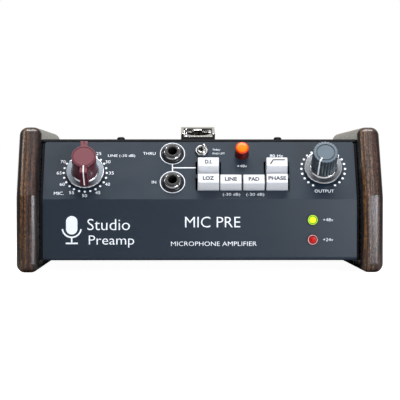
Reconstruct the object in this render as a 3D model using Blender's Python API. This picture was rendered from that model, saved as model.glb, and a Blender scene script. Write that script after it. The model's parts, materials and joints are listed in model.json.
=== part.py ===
"""Desk-top microphone preamp: a bent two-face front panel in a steel case between two wooden cheeks.

X runs to the right, Y to the back and Z up. The origin is the middle of the footprint, on the table.
"""

import math

import bmesh
import bpy
from mathutils import Matrix, Vector

MM = 0.001
GAP = 0.3 * MM

# The wooden cheeks set the outside of the case.
WIDTH = 258 * MM
DEPTH = 222 * MM
CHEEK_HEIGHT = 102.8 * MM
CHEEK_THICKNESS = 16 * MM
CHEEK_KNEE = 54.4 * MM
OUTER_EDGE_RADIUS = 6 * MM
INNER_EDGE_RADIUS = 5.8 * MM
CORNER_RADIUS = 6.5 * MM

# The steel case sits inside the cheeks, set back from their edges all round.
SET_BACK = 8.5 * MM
SHEET = 1.5 * MM
PANEL_THICKNESS = 2 * MM
LEAN = math.radians(30)
FOLD_HEIGHT = 51.5 * MM
UPPER_FACE_LENGTH = 47.1 * MM
FLANGE_LENGTH = 12 * MM
FLANGE_BEND = 2.6 * MM

CASE_HALF_WIDTH = WIDTH / 2 - CHEEK_THICKNESS - GAP
PANEL_HALF_WIDTH = CASE_HALF_WIDTH - SHEET - GAP
CASE_BOTTOM = 8.3 * MM
CASE_TOP = CHEEK_HEIGHT - SET_BACK
WALL_TOP = CASE_TOP - SHEET - 2 * GAP

# Controls on the upper face: distance from the middle, and distance up the slope from the fold.
GAIN_PLACE = (-81.4 * MM, 21.4 * MM)
OUTPUT_PLACE = (88.1 * MM, 24.8 * MM)
JACK_PLACES = {"thru": (-19.4 * MM, 37.4 * MM), "in": (-19.4 * MM, 13.9 * MM)}
TOGGLE_PLACE = (1.4 * MM, 39.2 * MM)
PHANTOM_PLACE = (30.2 * MM, 37.2 * MM)

SKIRT_RADIUS = 13.6 * MM
SKIRT_TOP = 4.2 * MM
KNOB_HEIGHT = 23.2 * MM
KNOB_RADIUS = 8.6 * MM
CAP_RADIUS = 8.9 * MM
BAR_WIDTH = 5.3 * MM
BAR_LENGTH = 25.8 * MM
FLUTES = 24
# The bar's lower end is the foremost point, so it and the cheeks' backs are equally far from the origin.
BAR_TOP = KNOB_HEIGHT + 0.1 * MM
BAR_FOOT = GAIN_PLACE[1] - BAR_LENGTH / 2
OVERHANG = BAR_TOP * math.cos(LEAN) - BAR_FOOT * math.sin(LEAN) - SET_BACK
CHEEK_FRONT = (OVERHANG - DEPTH) / 2
CHEEK_BACK = CHEEK_FRONT + DEPTH
PANEL_FRONT = CHEEK_FRONT + SET_BACK
CASE_BACK = CHEEK_BACK - SET_BACK

SHAFT_RADIUS = 3 * MM
BUSH_RADIUS = 4.6 * MM
BUSH_TOP = 5 * MM
NUT_RADIUS = 7 * MM

# Push keys: name, middle in X, lower edge up the slope, and how far the key stands latched in.
KEY_WIDTH = 15.3 * MM
KEY_LENGTH = 9.1 * MM
KEY_HEIGHT = 7.5 * MM
KEY_SLOPE = 1.7 * MM
KEY_SKIRT = 5 * MM
KEY_STEM = 6 * MM
LATCHED = 1.2 * MM
LOWER_ROW = 7.6 * MM
UPPER_ROW = 21 * MM
KEYS = (
    ("di", 6.1 * MM, UPPER_ROW, 0),
    ("lowcut", 54.8 * MM, UPPER_ROW, 0),
    ("loz", 6.0 * MM, LOWER_ROW, 0),
    ("line", 21.9 * MM, LOWER_ROW, LATCHED),
    ("pad", 38.2 * MM, LOWER_ROW, LATCHED),
    ("phase", 54.6 * MM, LOWER_ROW, 0),
)
WINDOW_SIDE = 1.4 * MM
WINDOW_ENDS = 0.6 * MM
BOARD_HEIGHT = -19.9 * MM
BOARD_THICKNESS = 1.6 * MM
MAIN_BOARD_TOP = 17.9 * MM

# Indicator lamps on the lower face: middle in X and height above the table.
LAMP_PLACES = {"green": (79.6 * MM, 36.9 * MM), "red": (79.6 * MM, 22.9 * MM)}

COVER_SCREW_X = 56.7 * MM
COVER_SCREW_Y = (-66 * MM, 93 * MM)
CHEEK_SCREW_Y = (-58 * MM, 70 * MM)
CHEEK_SCREW_HEIGHT = 42 * MM

# Top socket: a D-size shell on a wedge that tips it towards the front, with a rim round three sides.
SOCKET_TILT = math.radians(11.5)
SOCKET_WIDTH = 26 * MM
SOCKET_LENGTH = 30 * MM
SOCKET_FRONT = 0 * MM
SOCKET_RIM = 2 * MM
SOCKET_REAR_RIM = 6 * MM
SOCKET_RIM_HEIGHT = 2.5 * MM
SOCKET_FLANGE = 2 * MM
SOCKET_BARREL = 10.5 * MM
SOCKET_BORE = 8.8 * MM
SOCKET_DEPTH = 16 * MM

REAR_SOCKET_PLACE = (50 * MM, 50 * MM)
POWER_INLET_PLACE = (-60 * MM, 50 * MM)

SIDE_ON = Matrix(((0, 0, 1, 0), (1, 0, 0, 0), (0, 1, 0, 0), (0, 0, 0, 1)))


def clear_scene():
    for obj in list(bpy.data.objects):
        bpy.data.objects.remove(obj, do_unlink=True)


def material(name, color, roughness, metallic=0.0):
    finish = bpy.data.materials.get(name) or bpy.data.materials.new(name)
    finish.use_nodes = True
    shader = finish.node_tree.nodes["Principled BSDF"]
    shader.inputs["Base Color"].default_value = (*color, 1)
    shader.inputs["Roughness"].default_value = roughness
    shader.inputs["Metallic"].default_value = metallic
    return finish


def walnut():
    return material("walnut", (0.09, 0.045, 0.025), 0.45)


def panel_paint():
    return material("panel_paint", (0.07, 0.09, 0.11), 0.4)


def black_paint():
    return material("black_paint", (0.01, 0.01, 0.012), 0.45)


def black_oxide():
    return material("black_oxide", (0.02, 0.02, 0.02), 0.35, 1.0)


def nickel():
    return material("nickel", (0.7, 0.68, 0.64), 0.2, 1.0)


def steel():
    return material("steel", (0.45, 0.45, 0.46), 0.35, 1.0)


def aluminium():
    return material("aluminium", (0.75, 0.76, 0.78), 0.25, 1.0)


def maroon_plastic():
    return material("maroon_plastic", (0.09, 0.01, 0.02), 0.35)


def grey_plastic():
    return material("grey_plastic", (0.11, 0.13, 0.16), 0.35)


def white_plastic():
    return material("white_plastic", (0.8, 0.8, 0.82), 0.3)


def black_plastic():
    return material("black_plastic", (0.015, 0.015, 0.015), 0.5)


def red_plastic():
    return material("red_plastic", (0.5, 0.01, 0.005), 0.25)


def orange_lens():
    return material("orange_lens", (1.0, 0.25, 0.01), 0.25)


def green_lens():
    return material("green_lens", (0.25, 0.9, 0.05), 0.15)


def red_lens():
    return material("red_lens", (0.7, 0.02, 0.01), 0.15)


def board_resin():
    return material("board_resin", (0.02, 0.12, 0.05), 0.5)


def place(name, mesh, frame, finish, smooth=False):
    """One object from a mesh given in its own frame."""
    if smooth:
        mesh.shade_smooth()
        mesh.set_sharp_from_angle(angle=math.radians(35))
    mesh.materials.append(finish)
    obj = bpy.data.objects.new(name, mesh)
    bpy.context.scene.collection.objects.link(obj)
    obj.matrix_world = frame
    return obj


def mesh_of(name, shape):
    bmesh.ops.recalc_face_normals(shape, faces=shape.faces)
    mesh = bpy.data.meshes.new(name)
    shape.to_mesh(mesh)
    shape.free()
    return mesh


def lofted(name, outlines, frame, finish, smooth=False):
    """Closed solid through outlines of equal length, each a list of (x, y, z) points."""
    shape = bmesh.new()
    rings = [[shape.verts.new(point) for point in outline] for outline in outlines]
    for low, high in zip(rings, rings[1:]):
        for i, corner in enumerate(low):
            shape.faces.new((low[i - 1], corner, high[i], high[i - 1]))
    shape.faces.new(rings[0])
    shape.faces.new(rings[-1])
    return place(name, mesh_of(name, shape), frame, finish, smooth)


def extruded(name, outline, low, high, frame, finish):
    """Outline of (x, y) points, pushed from low to high along the frame's Z."""
    levels = [[(x, y, level) for x, y in outline] for level in (low, high)]
    return lofted(name, levels, frame, finish)


def block(name, size, centre, frame, finish):
    half_x, half_y = size[0] / 2, size[1] / 2
    signs = ((-1, -1), (1, -1), (1, 1), (-1, 1))
    outline = [(centre[0] + sx * half_x, centre[1] + sy * half_y) for sx, sy in signs]
    return extruded(name, outline, centre[2] - size[2] / 2, centre[2] + size[2] / 2, frame, finish)


def turned(name, profile, frame, finish, segments=24):
    """Profile of (radius, height) turned round the frame's Z: ends on the axis, or closes into a ring."""
    shape = bmesh.new()
    turns = [2 * math.pi * i / segments for i in range(segments)]
    rings = []
    for radius, height in profile:
        if radius == 0:
            rings.append([shape.verts.new((0, 0, height))] * segments)
        else:
            points = [(radius * math.cos(turn), radius * math.sin(turn), height) for turn in turns]
            rings.append([shape.verts.new(point) for point in points])
    pairs = list(zip(rings, rings[1:]))
    if profile[0][0] > 0:
        pairs.append((rings[-1], rings[0]))
    for low, high in pairs:
        for i in range(segments):
            corners = (low[i - 1], low[i], high[i], high[i - 1])
            shape.faces.new(dict.fromkeys(corners))
    return place(name, mesh_of(name, shape), frame, finish, smooth=True)


def gathered(name, pieces):
    """Several separate solids as one helper mesh in world space."""
    shape = bmesh.new()
    for piece in pieces:
        moved = piece.data.copy()
        moved.transform(piece.matrix_world)
        shape.from_mesh(moved)
        bpy.data.meshes.remove(moved)
        bpy.data.objects.remove(piece, do_unlink=True)
    return place(name, mesh_of(name, shape), Matrix.Identity(4), black_plastic())


def boolean(target, helper, operation):
    helper.hide_render = True
    helper.display_type = "WIRE"
    modifier = target.modifiers.new(helper.name, "BOOLEAN")
    modifier.operation = operation
    modifier.object = helper


def cut(target, helper):
    boolean(target, helper, "DIFFERENCE")


def add(target, helper):
    boolean(target, helper, "UNION")


def cylinder(name, radius, low, high, frame, segments=24):
    profile = [(0, low), (radius, low), (radius, high), (0, high)]
    return turned(name, profile, frame, black_plastic(), segments)


def cover_screw_spots():
    return [(side * COVER_SCREW_X, y) for side in (-1, 1) for y in COVER_SCREW_Y]


def cover_screw_holes():
    """Clearance holes for the cover screws, through the cover and the rails under it."""
    low, high = WALL_TOP - 5 * MM, CASE_TOP + 5 * MM
    places = [Matrix.Translation((x, y, 0)) for x, y in cover_screw_spots()]
    return [cylinder("hole", 1.8 * MM, low, high, place, 12) for place in places]


def joint_empty(name, frame, pieces):
    """An empty on the joint's axis that carries the moving pieces."""
    empty = bpy.data.objects.new(name, None)
    bpy.context.scene.collection.objects.link(empty)
    empty.matrix_world = frame
    for piece in pieces:
        piece.parent = empty
        piece.matrix_parent_inverse = frame.inverted()


def slope(distance, depth=0.0):
    """(y, z) of a point up the upper face from the fold, and below its surface."""
    y = PANEL_FRONT + distance * math.sin(LEAN) + depth * math.cos(LEAN)
    return y, FOLD_HEIGHT + distance * math.cos(LEAN) - depth * math.sin(LEAN)


def upper_frame(place_on_face):
    """Frame on the upper face: X right, Y up the slope, Z out of the panel."""
    y, z = slope(place_on_face[1])
    return Matrix.Translation((place_on_face[0], y, z)) @ Matrix.Rotation(math.pi / 2 - LEAN, 4, "X")


def lower_frame(place_on_face):
    """Frame on the lower face: X right, Y up, Z out of the panel."""
    lift = Matrix.Translation((place_on_face[0], PANEL_FRONT, place_on_face[1]))
    return lift @ Matrix.Rotation(math.pi / 2, 4, "X")


def rear_frame(place_on_face):
    """Frame on the rear panel's outer face, with Z out of the back."""
    lift = Matrix.Translation((place_on_face[0], CASE_BACK, place_on_face[1]))
    return lift @ Matrix.Rotation(-math.pi / 2, 4, "X")


def side_frame(side, y, z):
    """Frame at the middle of the case with Z out through the left (-1) or right (1) wall."""
    return Matrix.Translation((0, y, z)) @ Matrix.Rotation(side * math.pi / 2, 4, "Y")


def socket_frame():
    """Frame on the top socket's flange: Y up its slope, Z out of the socket."""
    rise = 1.5 * MM
    lift = Matrix.Translation((0, SOCKET_FRONT, CASE_TOP + rise)) @ Matrix.Rotation(SOCKET_TILT, 4, "X")
    return lift @ Matrix.Translation((0, SOCKET_LENGTH / 2, 0))


def rounded_outline(corners, inset=0.0, steps=3):
    """Outline through (point, radius) corners, anticlockwise, moved inwards by inset."""
    points = []
    for i, (corner, radius) in enumerate(corners):
        here = Vector(corner)
        to_last = (Vector(corners[i - 1][0]) - here).normalized()
        to_next = (Vector(corners[(i + 1) % len(corners)][0]) - here).normalized()
        half_angle = to_last.angle(to_next) / 2
        centre = here + (to_last + to_next).normalized() * max(radius, inset) / math.sin(half_angle)
        if radius <= inset or radius == 0:
            points.append(centre)
            continue
        start = math.atan2(to_last.x, -to_last.y)
        sweep = math.pi - 2 * half_angle
        for k in range(steps + 1):
            angle = start + sweep * k / steps
            points.append(centre + (radius - inset) * Vector((math.cos(angle), math.sin(angle))))
    return points


def edge_turn(radius, steps):
    """Quarter round between a side and a face: (depth under the face, inset from the side) per step."""
    turns = [math.pi / 2 * k / steps for k in range(steps + 1)]
    return [(radius * (1 - math.sin(turn)), radius * (1 - math.cos(turn))) for turn in turns]


def make_cheek(name, side):
    knee_back = (CHEEK_HEIGHT - CHEEK_KNEE) * math.tan(LEAN)
    corners = (
        ((CHEEK_FRONT, 0), CORNER_RADIUS),
        ((CHEEK_BACK, 0), CORNER_RADIUS),
        ((CHEEK_BACK, CHEEK_HEIGHT), 8 * MM),
        ((CHEEK_FRONT + knee_back, CHEEK_HEIGHT), CORNER_RADIUS),
        ((CHEEK_FRONT, CHEEK_KNEE), 0),
    )
    stations = edge_turn(OUTER_EDGE_RADIUS, 3)[::-1]
    stations += [(CHEEK_THICKNESS - depth, inset) for depth, inset in edge_turn(INNER_EDGE_RADIUS, 3)]
    outlines = [
        [(point.x, point.y, side * (WIDTH / 2 - depth)) for point in rounded_outline(corners, inset)]
        for depth, inset in stations
    ]
    cheek = lofted(name, outlines, SIDE_ON, walnut(), smooth=True)
    bores = [
        cylinder("bore", 2.3 * MM, CASE_HALF_WIDTH - 1 * MM, CASE_HALF_WIDTH + 11 * MM,
                 side_frame(side, y, CHEEK_SCREW_HEIGHT), 12)
        for y in CHEEK_SCREW_Y
    ]
    cut(cheek, gathered(name + "_bores", bores))


def make_cheek_screw(name, side, y):
    profile = [
        (0, CASE_HALF_WIDTH - SHEET - 2.7 * MM),
        (3.2 * MM, CASE_HALF_WIDTH - SHEET - 2.7 * MM),
        (4 * MM, CASE_HALF_WIDTH - SHEET - 1.8 * MM),
        (4 * MM, CASE_HALF_WIDTH - SHEET - GAP),
        (2 * MM, CASE_HALF_WIDTH - SHEET - GAP),
        (2 * MM, CASE_HALF_WIDTH + 10 * MM),
        (0, CASE_HALF_WIDTH + 10.6 * MM),
    ]
    turned(name, profile, side_frame(side, y, CHEEK_SCREW_HEIGHT), steel(), 12)


def panel_profile():
    """Section of the front panel: upper face, fold, lower face and the flange turned under the case."""
    top = slope(UPPER_FACE_LENGTH)
    inner_top = slope(UPPER_FACE_LENGTH, PANEL_THICKNESS)
    bend_y, bend_z = PANEL_FRONT + FLANGE_BEND, CASE_BOTTOM + FLANGE_BEND
    inner_bend = FLANGE_BEND - PANEL_THICKNESS
    turns = [math.pi + math.pi / 2 * k / 3 for k in range(4)]
    outer = [(bend_y + FLANGE_BEND * math.cos(a), bend_z + FLANGE_BEND * math.sin(a)) for a in turns]
    turns.reverse()
    inner = [(bend_y + inner_bend * math.cos(a), bend_z + inner_bend * math.sin(a)) for a in turns]
    flange_end = PANEL_FRONT + FLANGE_LENGTH
    inner_fold = (PANEL_FRONT + PANEL_THICKNESS, FOLD_HEIGHT - PANEL_THICKNESS * math.tan(LEAN / 2))
    return [
        top, (PANEL_FRONT, FOLD_HEIGHT), *outer, (flange_end, CASE_BOTTOM),
        (flange_end, CASE_BOTTOM + PANEL_THICKNESS), *inner, inner_fold, inner_top,
    ]


def key_windows():
    """Openings that the push keys stand in: one long one below and one for each upper key."""
    windows = []
    lower = [key for key in KEYS if key[2] == LOWER_ROW]
    groups = [[key] for key in KEYS if key[2] == UPPER_ROW] + [lower]
    for group in groups:
        left = min(key[1] for key in group) - KEY_WIDTH / 2 - WINDOW_SIDE
        right = max(key[1] for key in group) + KEY_WIDTH / 2 + WINDOW_SIDE
        size = (right - left, KEY_LENGTH + 2 * WINDOW_ENDS, 4 * PANEL_THICKNESS)
        middle = upper_frame(((left + right) / 2, group[0][2] + KEY_LENGTH / 2))
        windows.append(block("window", size, (0, 0, 0), middle, black_plastic()))
    return windows


def make_front_panel():
    half = PANEL_HALF_WIDTH
    panel = extruded("front_panel", panel_profile(), -half, half, SIDE_ON, panel_paint())
    holes = [(GAIN_PLACE, BUSH_RADIUS + GAP), (OUTPUT_PLACE, BUSH_RADIUS + GAP)]
    holes += [(spot, 5.2 * MM) for spot in JACK_PLACES.values()]
    holes += [(TOGGLE_PLACE, 3.3 * MM), (PHANTOM_PLACE, 5.1 * MM)]
    reach = 2 * PANEL_THICKNESS
    helpers = [cylinder("hole", radius, -reach, reach, upper_frame(spot), 20) for spot, radius in holes]
    for spot in LAMP_PLACES.values():
        helpers.append(cylinder("hole", 3.9 * MM, -reach, reach, lower_frame(spot), 20))
    cut(panel, gathered("panel_openings", helpers + key_windows()))


def make_chassis_tray():
    """Floor, two side walls, two cross rails for the cover screws and four board pillars, in one piece."""
    behind = 0.8 * MM
    profile = [
        (PANEL_FRONT + behind, CASE_BOTTOM), (CASE_BACK, CASE_BOTTOM), (CASE_BACK, WALL_TOP),
        slope(UPPER_FACE_LENGTH - 0.4 * MM, behind), slope(0, behind),
    ]
    tray = extruded("chassis_tray", profile, -CASE_HALF_WIDTH, CASE_HALF_WIDTH, SIDE_ON, black_paint())
    inside = 2 * (CASE_HALF_WIDTH - SHEET)
    identity = Matrix.Identity(4)
    floor_top = CASE_BOTTOM + SHEET
    room_size = (inside, 2 * DEPTH, CASE_TOP)
    cut(tray, block("tray_room", room_size, (0, 0, floor_top + CASE_TOP / 2), identity, black_plastic()))
    lip_size = (inside, 40 * MM, 20 * MM)
    lip_middle = PANEL_FRONT + FLANGE_LENGTH + GAP - lip_size[1] / 2
    cut(tray, block("tray_lip", lip_size, (0, lip_middle, CASE_BOTTOM), identity, black_plastic()))
    rail_size = (inside + MM, 10 * MM, 1.4 * MM)
    for y in COVER_SCREW_Y:
        middle = (0, min(y, CASE_BACK - SHEET - GAP - rail_size[1] / 2), WALL_TOP - 0.8 * MM)
        add(tray, block("cover_rail", rail_size, middle, identity, black_plastic()))
    pillars = [
        cylinder("pillar", 3 * MM, floor_top - 0.7 * MM, 16 * MM, Matrix.Translation((x, y, 0)), 12)
        for x in (-82 * MM, 82 * MM) for y in (-34 * MM, 72 * MM)
    ]
    add(tray, gathered("board_pillars", pillars))
    holes = cover_screw_holes() + [
        cylinder("hole", 2.3 * MM, CASE_HALF_WIDTH - 5 * MM, CASE_HALF_WIDTH + 5 * MM,
                 side_frame(side, y, CHEEK_SCREW_HEIGHT), 12)
        for side in (-1, 1) for y in CHEEK_SCREW_Y
    ]
    cut(tray, gathered("tray_holes", holes))


def make_top_cover():
    front_low = slope(UPPER_FACE_LENGTH + GAP)
    front_high = slope((CASE_TOP - FOLD_HEIGHT) / math.cos(LEAN))
    profile = [front_low, (CASE_BACK, front_low[1]), (CASE_BACK, CASE_TOP), front_high]
    cover = extruded("top_cover", profile, -CASE_HALF_WIDTH, CASE_HALF_WIDTH, SIDE_ON, black_paint())
    barrel_place = Matrix.Translation((0, SOCKET_FRONT + SOCKET_LENGTH / 2 + 1.2 * MM, CASE_TOP))
    barrel_hole = cylinder("hole", 12.2 * MM, -5 * MM, 5 * MM, barrel_place)
    cut(cover, gathered("cover_holes", cover_screw_holes() + [barrel_hole]))


def make_cover_screw(name, x, y):
    profile = [
        (0, CASE_TOP - 7 * MM), (1.5 * MM, CASE_TOP - 6.5 * MM), (1.5 * MM, CASE_TOP + GAP),
        (2.85 * MM, CASE_TOP + GAP), (2.6 * MM, CASE_TOP + 1.2 * MM), (1.8 * MM, CASE_TOP + 2 * MM),
        (0, CASE_TOP + 2 * MM),
    ]
    turned(name, profile, Matrix.Translation((x, y, 0)), black_oxide(), 16)


def make_rear_panel():
    low = CASE_BOTTOM + SHEET + GAP
    size = (2 * PANEL_HALF_WIDTH, SHEET, WALL_TOP - low)
    centre = (0, CASE_BACK - SHEET / 2, (low + WALL_TOP) / 2)
    panel = block("rear_panel", size, centre, Matrix.Identity(4), black_paint())
    reach = 5 * MM
    cut(panel, gathered("rear_holes", [
        cylinder("hole", 11.8 * MM, -reach, reach, rear_frame(REAR_SOCKET_PLACE)),
        cylinder("hole", 9.3 * MM, -reach, reach, rear_frame(POWER_INLET_PLACE)),
    ]))


def make_skirt(name, frame):
    profile = [
        (7.6 * MM, SKIRT_TOP - 1.6 * MM), (12 * MM, SKIRT_TOP - 2.2 * MM),
        (SKIRT_RADIUS, SKIRT_TOP - 2.2 * MM), (SKIRT_RADIUS, SKIRT_TOP - 1.2 * MM),
        (12.4 * MM, SKIRT_TOP), (7.6 * MM, SKIRT_TOP),
    ]
    return turned(name, profile, frame, aluminium(), 32)


def knob_bore(name, frame):
    """The stepped bore that clears the bush below and takes the shaft above."""
    profile = [
        (0, SKIRT_TOP - 2 * MM), (5.2 * MM, SKIRT_TOP - 2 * MM), (5.2 * MM, 6.5 * MM),
        (SHAFT_RADIUS + GAP, 6.5 * MM), (SHAFT_RADIUS + GAP, 15.5 * MM), (0, 15.5 * MM),
    ]
    return turned(name, profile, frame, black_plastic(), 16)


def make_gain_knob(frame):
    """Round body with a pointer bar across it."""
    base = SKIRT_TOP + GAP
    profile = [(0, base), (KNOB_RADIUS, base), (KNOB_RADIUS, KNOB_HEIGHT - 1 * MM),
               (KNOB_RADIUS - 1 * MM, KNOB_HEIGHT), (0, KNOB_HEIGHT)]
    knob = turned("gain_knob", profile, frame, maroon_plastic(), 32)
    bar = block("gain_bar", (BAR_WIDTH, BAR_LENGTH, KNOB_HEIGHT - base - 0.4 * MM),
                (0, 0, (KNOB_HEIGHT + base + 0.6 * MM) / 2), frame, maroon_plastic())
    add(knob, bar)
    cut(knob, knob_bore("gain_knob_bore", frame))
    return knob


def make_output_knob(frame):
    """Fluted cap."""
    base = SKIRT_TOP + GAP
    steps = 4 * FLUTES

    def ring(radius, height, depth):
        points = []
        for i in range(steps):
            angle = 2 * math.pi * i / steps
            reach = radius - depth * (0.5 + 0.5 * math.cos(FLUTES * angle))
            points.append((reach * math.cos(angle), reach * math.sin(angle), height))
        return points

    flute = 0.7 * MM
    outlines = [
        ring(CAP_RADIUS + 0.2 * MM, base, flute), ring(CAP_RADIUS, KNOB_HEIGHT - MM, flute),
        ring(CAP_RADIUS - 0.8 * MM, KNOB_HEIGHT, flute / 2),
    ]
    knob = lofted("output_knob", outlines, frame, grey_plastic(), smooth=True)
    cut(knob, knob_bore("output_knob_bore", frame))
    return knob


def make_control(name, body, frame, body_radius, body_depth):
    """Rotary switch or potentiometer: a can with its threaded bush, its shaft and its fixing nut."""
    face = -PANEL_THICKNESS - GAP
    profile = [
        (0, -body_depth), (body_radius, -body_depth), (body_radius, face), (BUSH_RADIUS, face),
        (BUSH_RADIUS, BUSH_TOP), (SHAFT_RADIUS + GAP, BUSH_TOP),
        (SHAFT_RADIUS + GAP, -10 * MM), (0, -10 * MM),
    ]
    turned(body, profile, frame, steel(), 24)
    turns = [math.pi / 3 * k for k in range(6)]
    hexagon = [(NUT_RADIUS * math.cos(a), NUT_RADIUS * math.sin(a)) for a in turns]
    nut = extruded(name + "_nut", hexagon, GAP, 2.3 * MM, frame, nickel())
    cut(nut, cylinder(name + "_nut_thread", BUSH_RADIUS + GAP, -MM, 4 * MM, frame, 16))
    shaft = [(0, -9.5 * MM), (SHAFT_RADIUS, -9.5 * MM), (SHAFT_RADIUS, 15 * MM), (0, 15 * MM)]
    return turned(name + "_shaft", shaft, frame, steel(), 16)


def make_gain():
    frame = upper_frame(GAIN_PLACE)
    shaft = make_control("gain", "gain_switch", frame, 13 * MM, 19 * MM)
    joint_empty("gain_turn", frame, [make_gain_knob(frame), make_skirt("gain_skirt", frame), shaft])


def make_output():
    frame = upper_frame(OUTPUT_PLACE)
    shaft = make_control("output", "output_potentiometer", frame, 8.5 * MM, 14 * MM)
    joint_empty("output_turn", frame, [make_output_knob(frame), make_skirt("output_skirt", frame), shaft])


def make_jack(name, spot):
    """Quarter-inch jack: a moulded body with its bush through the panel, and a ring nut."""
    frame = upper_frame(spot)
    face = -PANEL_THICKNESS - GAP
    bottom = -19 * MM
    size = (14 * MM, 14 * MM, face - bottom)
    body = block(name + "_jack_body", size, (0, 0, (face + bottom) / 2), frame, black_plastic())
    add(body, cylinder(name + "_jack_bush", 4.9 * MM, face - MM, 4 * MM, frame, 20))
    cut(body, cylinder(name + "_jack_bore", 3.3 * MM, -17 * MM, 6 * MM, frame, 20))
    ring = [
        (5.2 * MM, GAP), (7.4 * MM, GAP), (7.4 * MM, 2.2 * MM), (6.6 * MM, 3 * MM), (5.2 * MM, 3 * MM),
    ]
    turned(name + "_jack_nut", ring, frame, nickel(), 24)


def make_toggle():
    frame = upper_frame(TOGGLE_PLACE)
    face = -PANEL_THICKNESS - GAP
    bottom = -12.5 * MM
    size = (12 * MM, 7 * MM, face - bottom)
    body = block("toggle_body", size, (0, 0, (face + bottom) / 2), frame, steel())
    add(body, cylinder("toggle_bush", 2.95 * MM, face - MM, 3.5 * MM, frame, 16))
    cut(body, cylinder("toggle_bore", 2.4 * MM, -3 * MM, 5 * MM, frame, 16))
    ring = [
        (3.25 * MM, GAP), (4.6 * MM, GAP), (4.6 * MM, 1.7 * MM), (4 * MM, 2.1 * MM), (3.25 * MM, 2.1 * MM),
    ]
    turned("toggle_nut", ring, frame, nickel(), 16)
    pivot = frame @ Matrix.Translation((0, 0, 1 * MM)) @ Matrix.Rotation(math.radians(13), 4, "Y")
    bat = [
        (0, -2 * MM), (MM, -1.6 * MM), (MM, 3 * MM), (1.35 * MM, 7.6 * MM), (0.9 * MM, 8.5 * MM),
           (0, 8.8 * MM)]
    joint_empty("toggle_flip", pivot, [turned("toggle_lever", bat, pivot, nickel(), 16)])


def make_phantom_button():
    frame = upper_frame(PHANTOM_PLACE)
    cap = [
        (0, -8 * MM), (2 * MM, -8 * MM), (2 * MM, -3 * MM), (4.75 * MM, -3 * MM), (4.75 * MM, 8.3 * MM),
        (4.3 * MM, 9.3 * MM), (4 * MM, 9.3 * MM), (4 * MM, 8.3 * MM), (0, 8.3 * MM),
    ]
    lens = [
        (0, 8.6 * MM), (3.7 * MM, 8.6 * MM), (3.7 * MM, 9.2 * MM), (2.4 * MM, 9.7 * MM), (0, 9.8 * MM),
    ]
    moving = [
        turned("phantom_cap", cap, frame, red_plastic(), 24),
        turned("phantom_lens", lens, frame, orange_lens(), 24),
    ]
    joint_empty("phantom_push", frame, moving)
    body = block("phantom_switch", (11 * MM, 11 * MM, 12 * MM), (0, 0, -12 * MM), frame, black_plastic())
    cut(body, cylinder("phantom_switch_bore", 2.4 * MM, -12 * MM, -4 * MM, frame, 16))


def key_outline(level, narrower, set_back):
    """Corners of a keycap at a height: narrower all round, and set back further at its sloping front."""
    side, back = KEY_WIDTH / 2 - narrower, KEY_LENGTH / 2 - narrower / 2
    front = set_back - KEY_LENGTH / 2
    return [(-side, front, level), (side, front, level), (side, back, level), (-side, back, level)]


def make_key(name, x, lower_edge, latched):
    """Keycap with its stem, and the switch that the stem runs in."""
    middle = upper_frame((x, lower_edge + KEY_LENGTH / 2))
    frame = middle @ Matrix.Translation((0, 0, -latched))
    shoulder = KEY_HEIGHT - 0.6 * MM
    outlines = [
        key_outline(-KEY_SKIRT, 0, 0), key_outline(0, 0, 0),
        key_outline(shoulder, 0.4 * MM, KEY_SLOPE * shoulder / KEY_HEIGHT),
        key_outline(KEY_HEIGHT, 0.8 * MM, KEY_SLOPE + 0.3 * MM),
    ]
    cap = lofted(name + "_key", outlines, frame, white_plastic())
    stem = 3.4 * MM
    stem_middle = (0, 0, -KEY_SKIRT - (KEY_STEM - MM) / 2)
    add(cap, block(name + "_stem", (stem, stem, KEY_STEM + MM), stem_middle, frame, white_plastic()))
    joint_empty(name + "_push", frame, [cap])
    top, bottom = -9 * MM, -19.5 * MM
    size = (12.6 * MM, 10 * MM, top - bottom)
    body = block(name + "_switch", size, (0, 0, (top + bottom) / 2), middle, black_plastic())
    pocket = stem + 2 * GAP
    room = (pocket, pocket, 8 * MM)
    cut(body, block(name + "_pocket", room, (0, 0, -12 * MM), middle, black_plastic()))


def make_lamp(name, spot, finish):
    frame = lower_frame(spot)
    bezel = [
        (2.8 * MM, -6 * MM), (3.6 * MM, -6 * MM), (3.6 * MM, GAP), (4 * MM, GAP), (4 * MM, 0.8 * MM),
        (3.6 * MM, 1.3 * MM), (2.8 * MM, 1.3 * MM),
    ]
    turned(name + "_lamp_bezel", bezel, frame, black_plastic(), 20)
    lens = [(0, -4 * MM), (2.5 * MM, -4 * MM), (2.5 * MM, 0.8 * MM)]
    for angle in (math.pi / 6, math.pi / 3):
        lens.append((2.5 * MM * math.cos(angle), 0.8 * MM + 1.4 * MM * math.sin(angle)))
    turned(name + "_lamp_lens", lens + [(0, 2.2 * MM)], frame, finish, 20)


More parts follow.
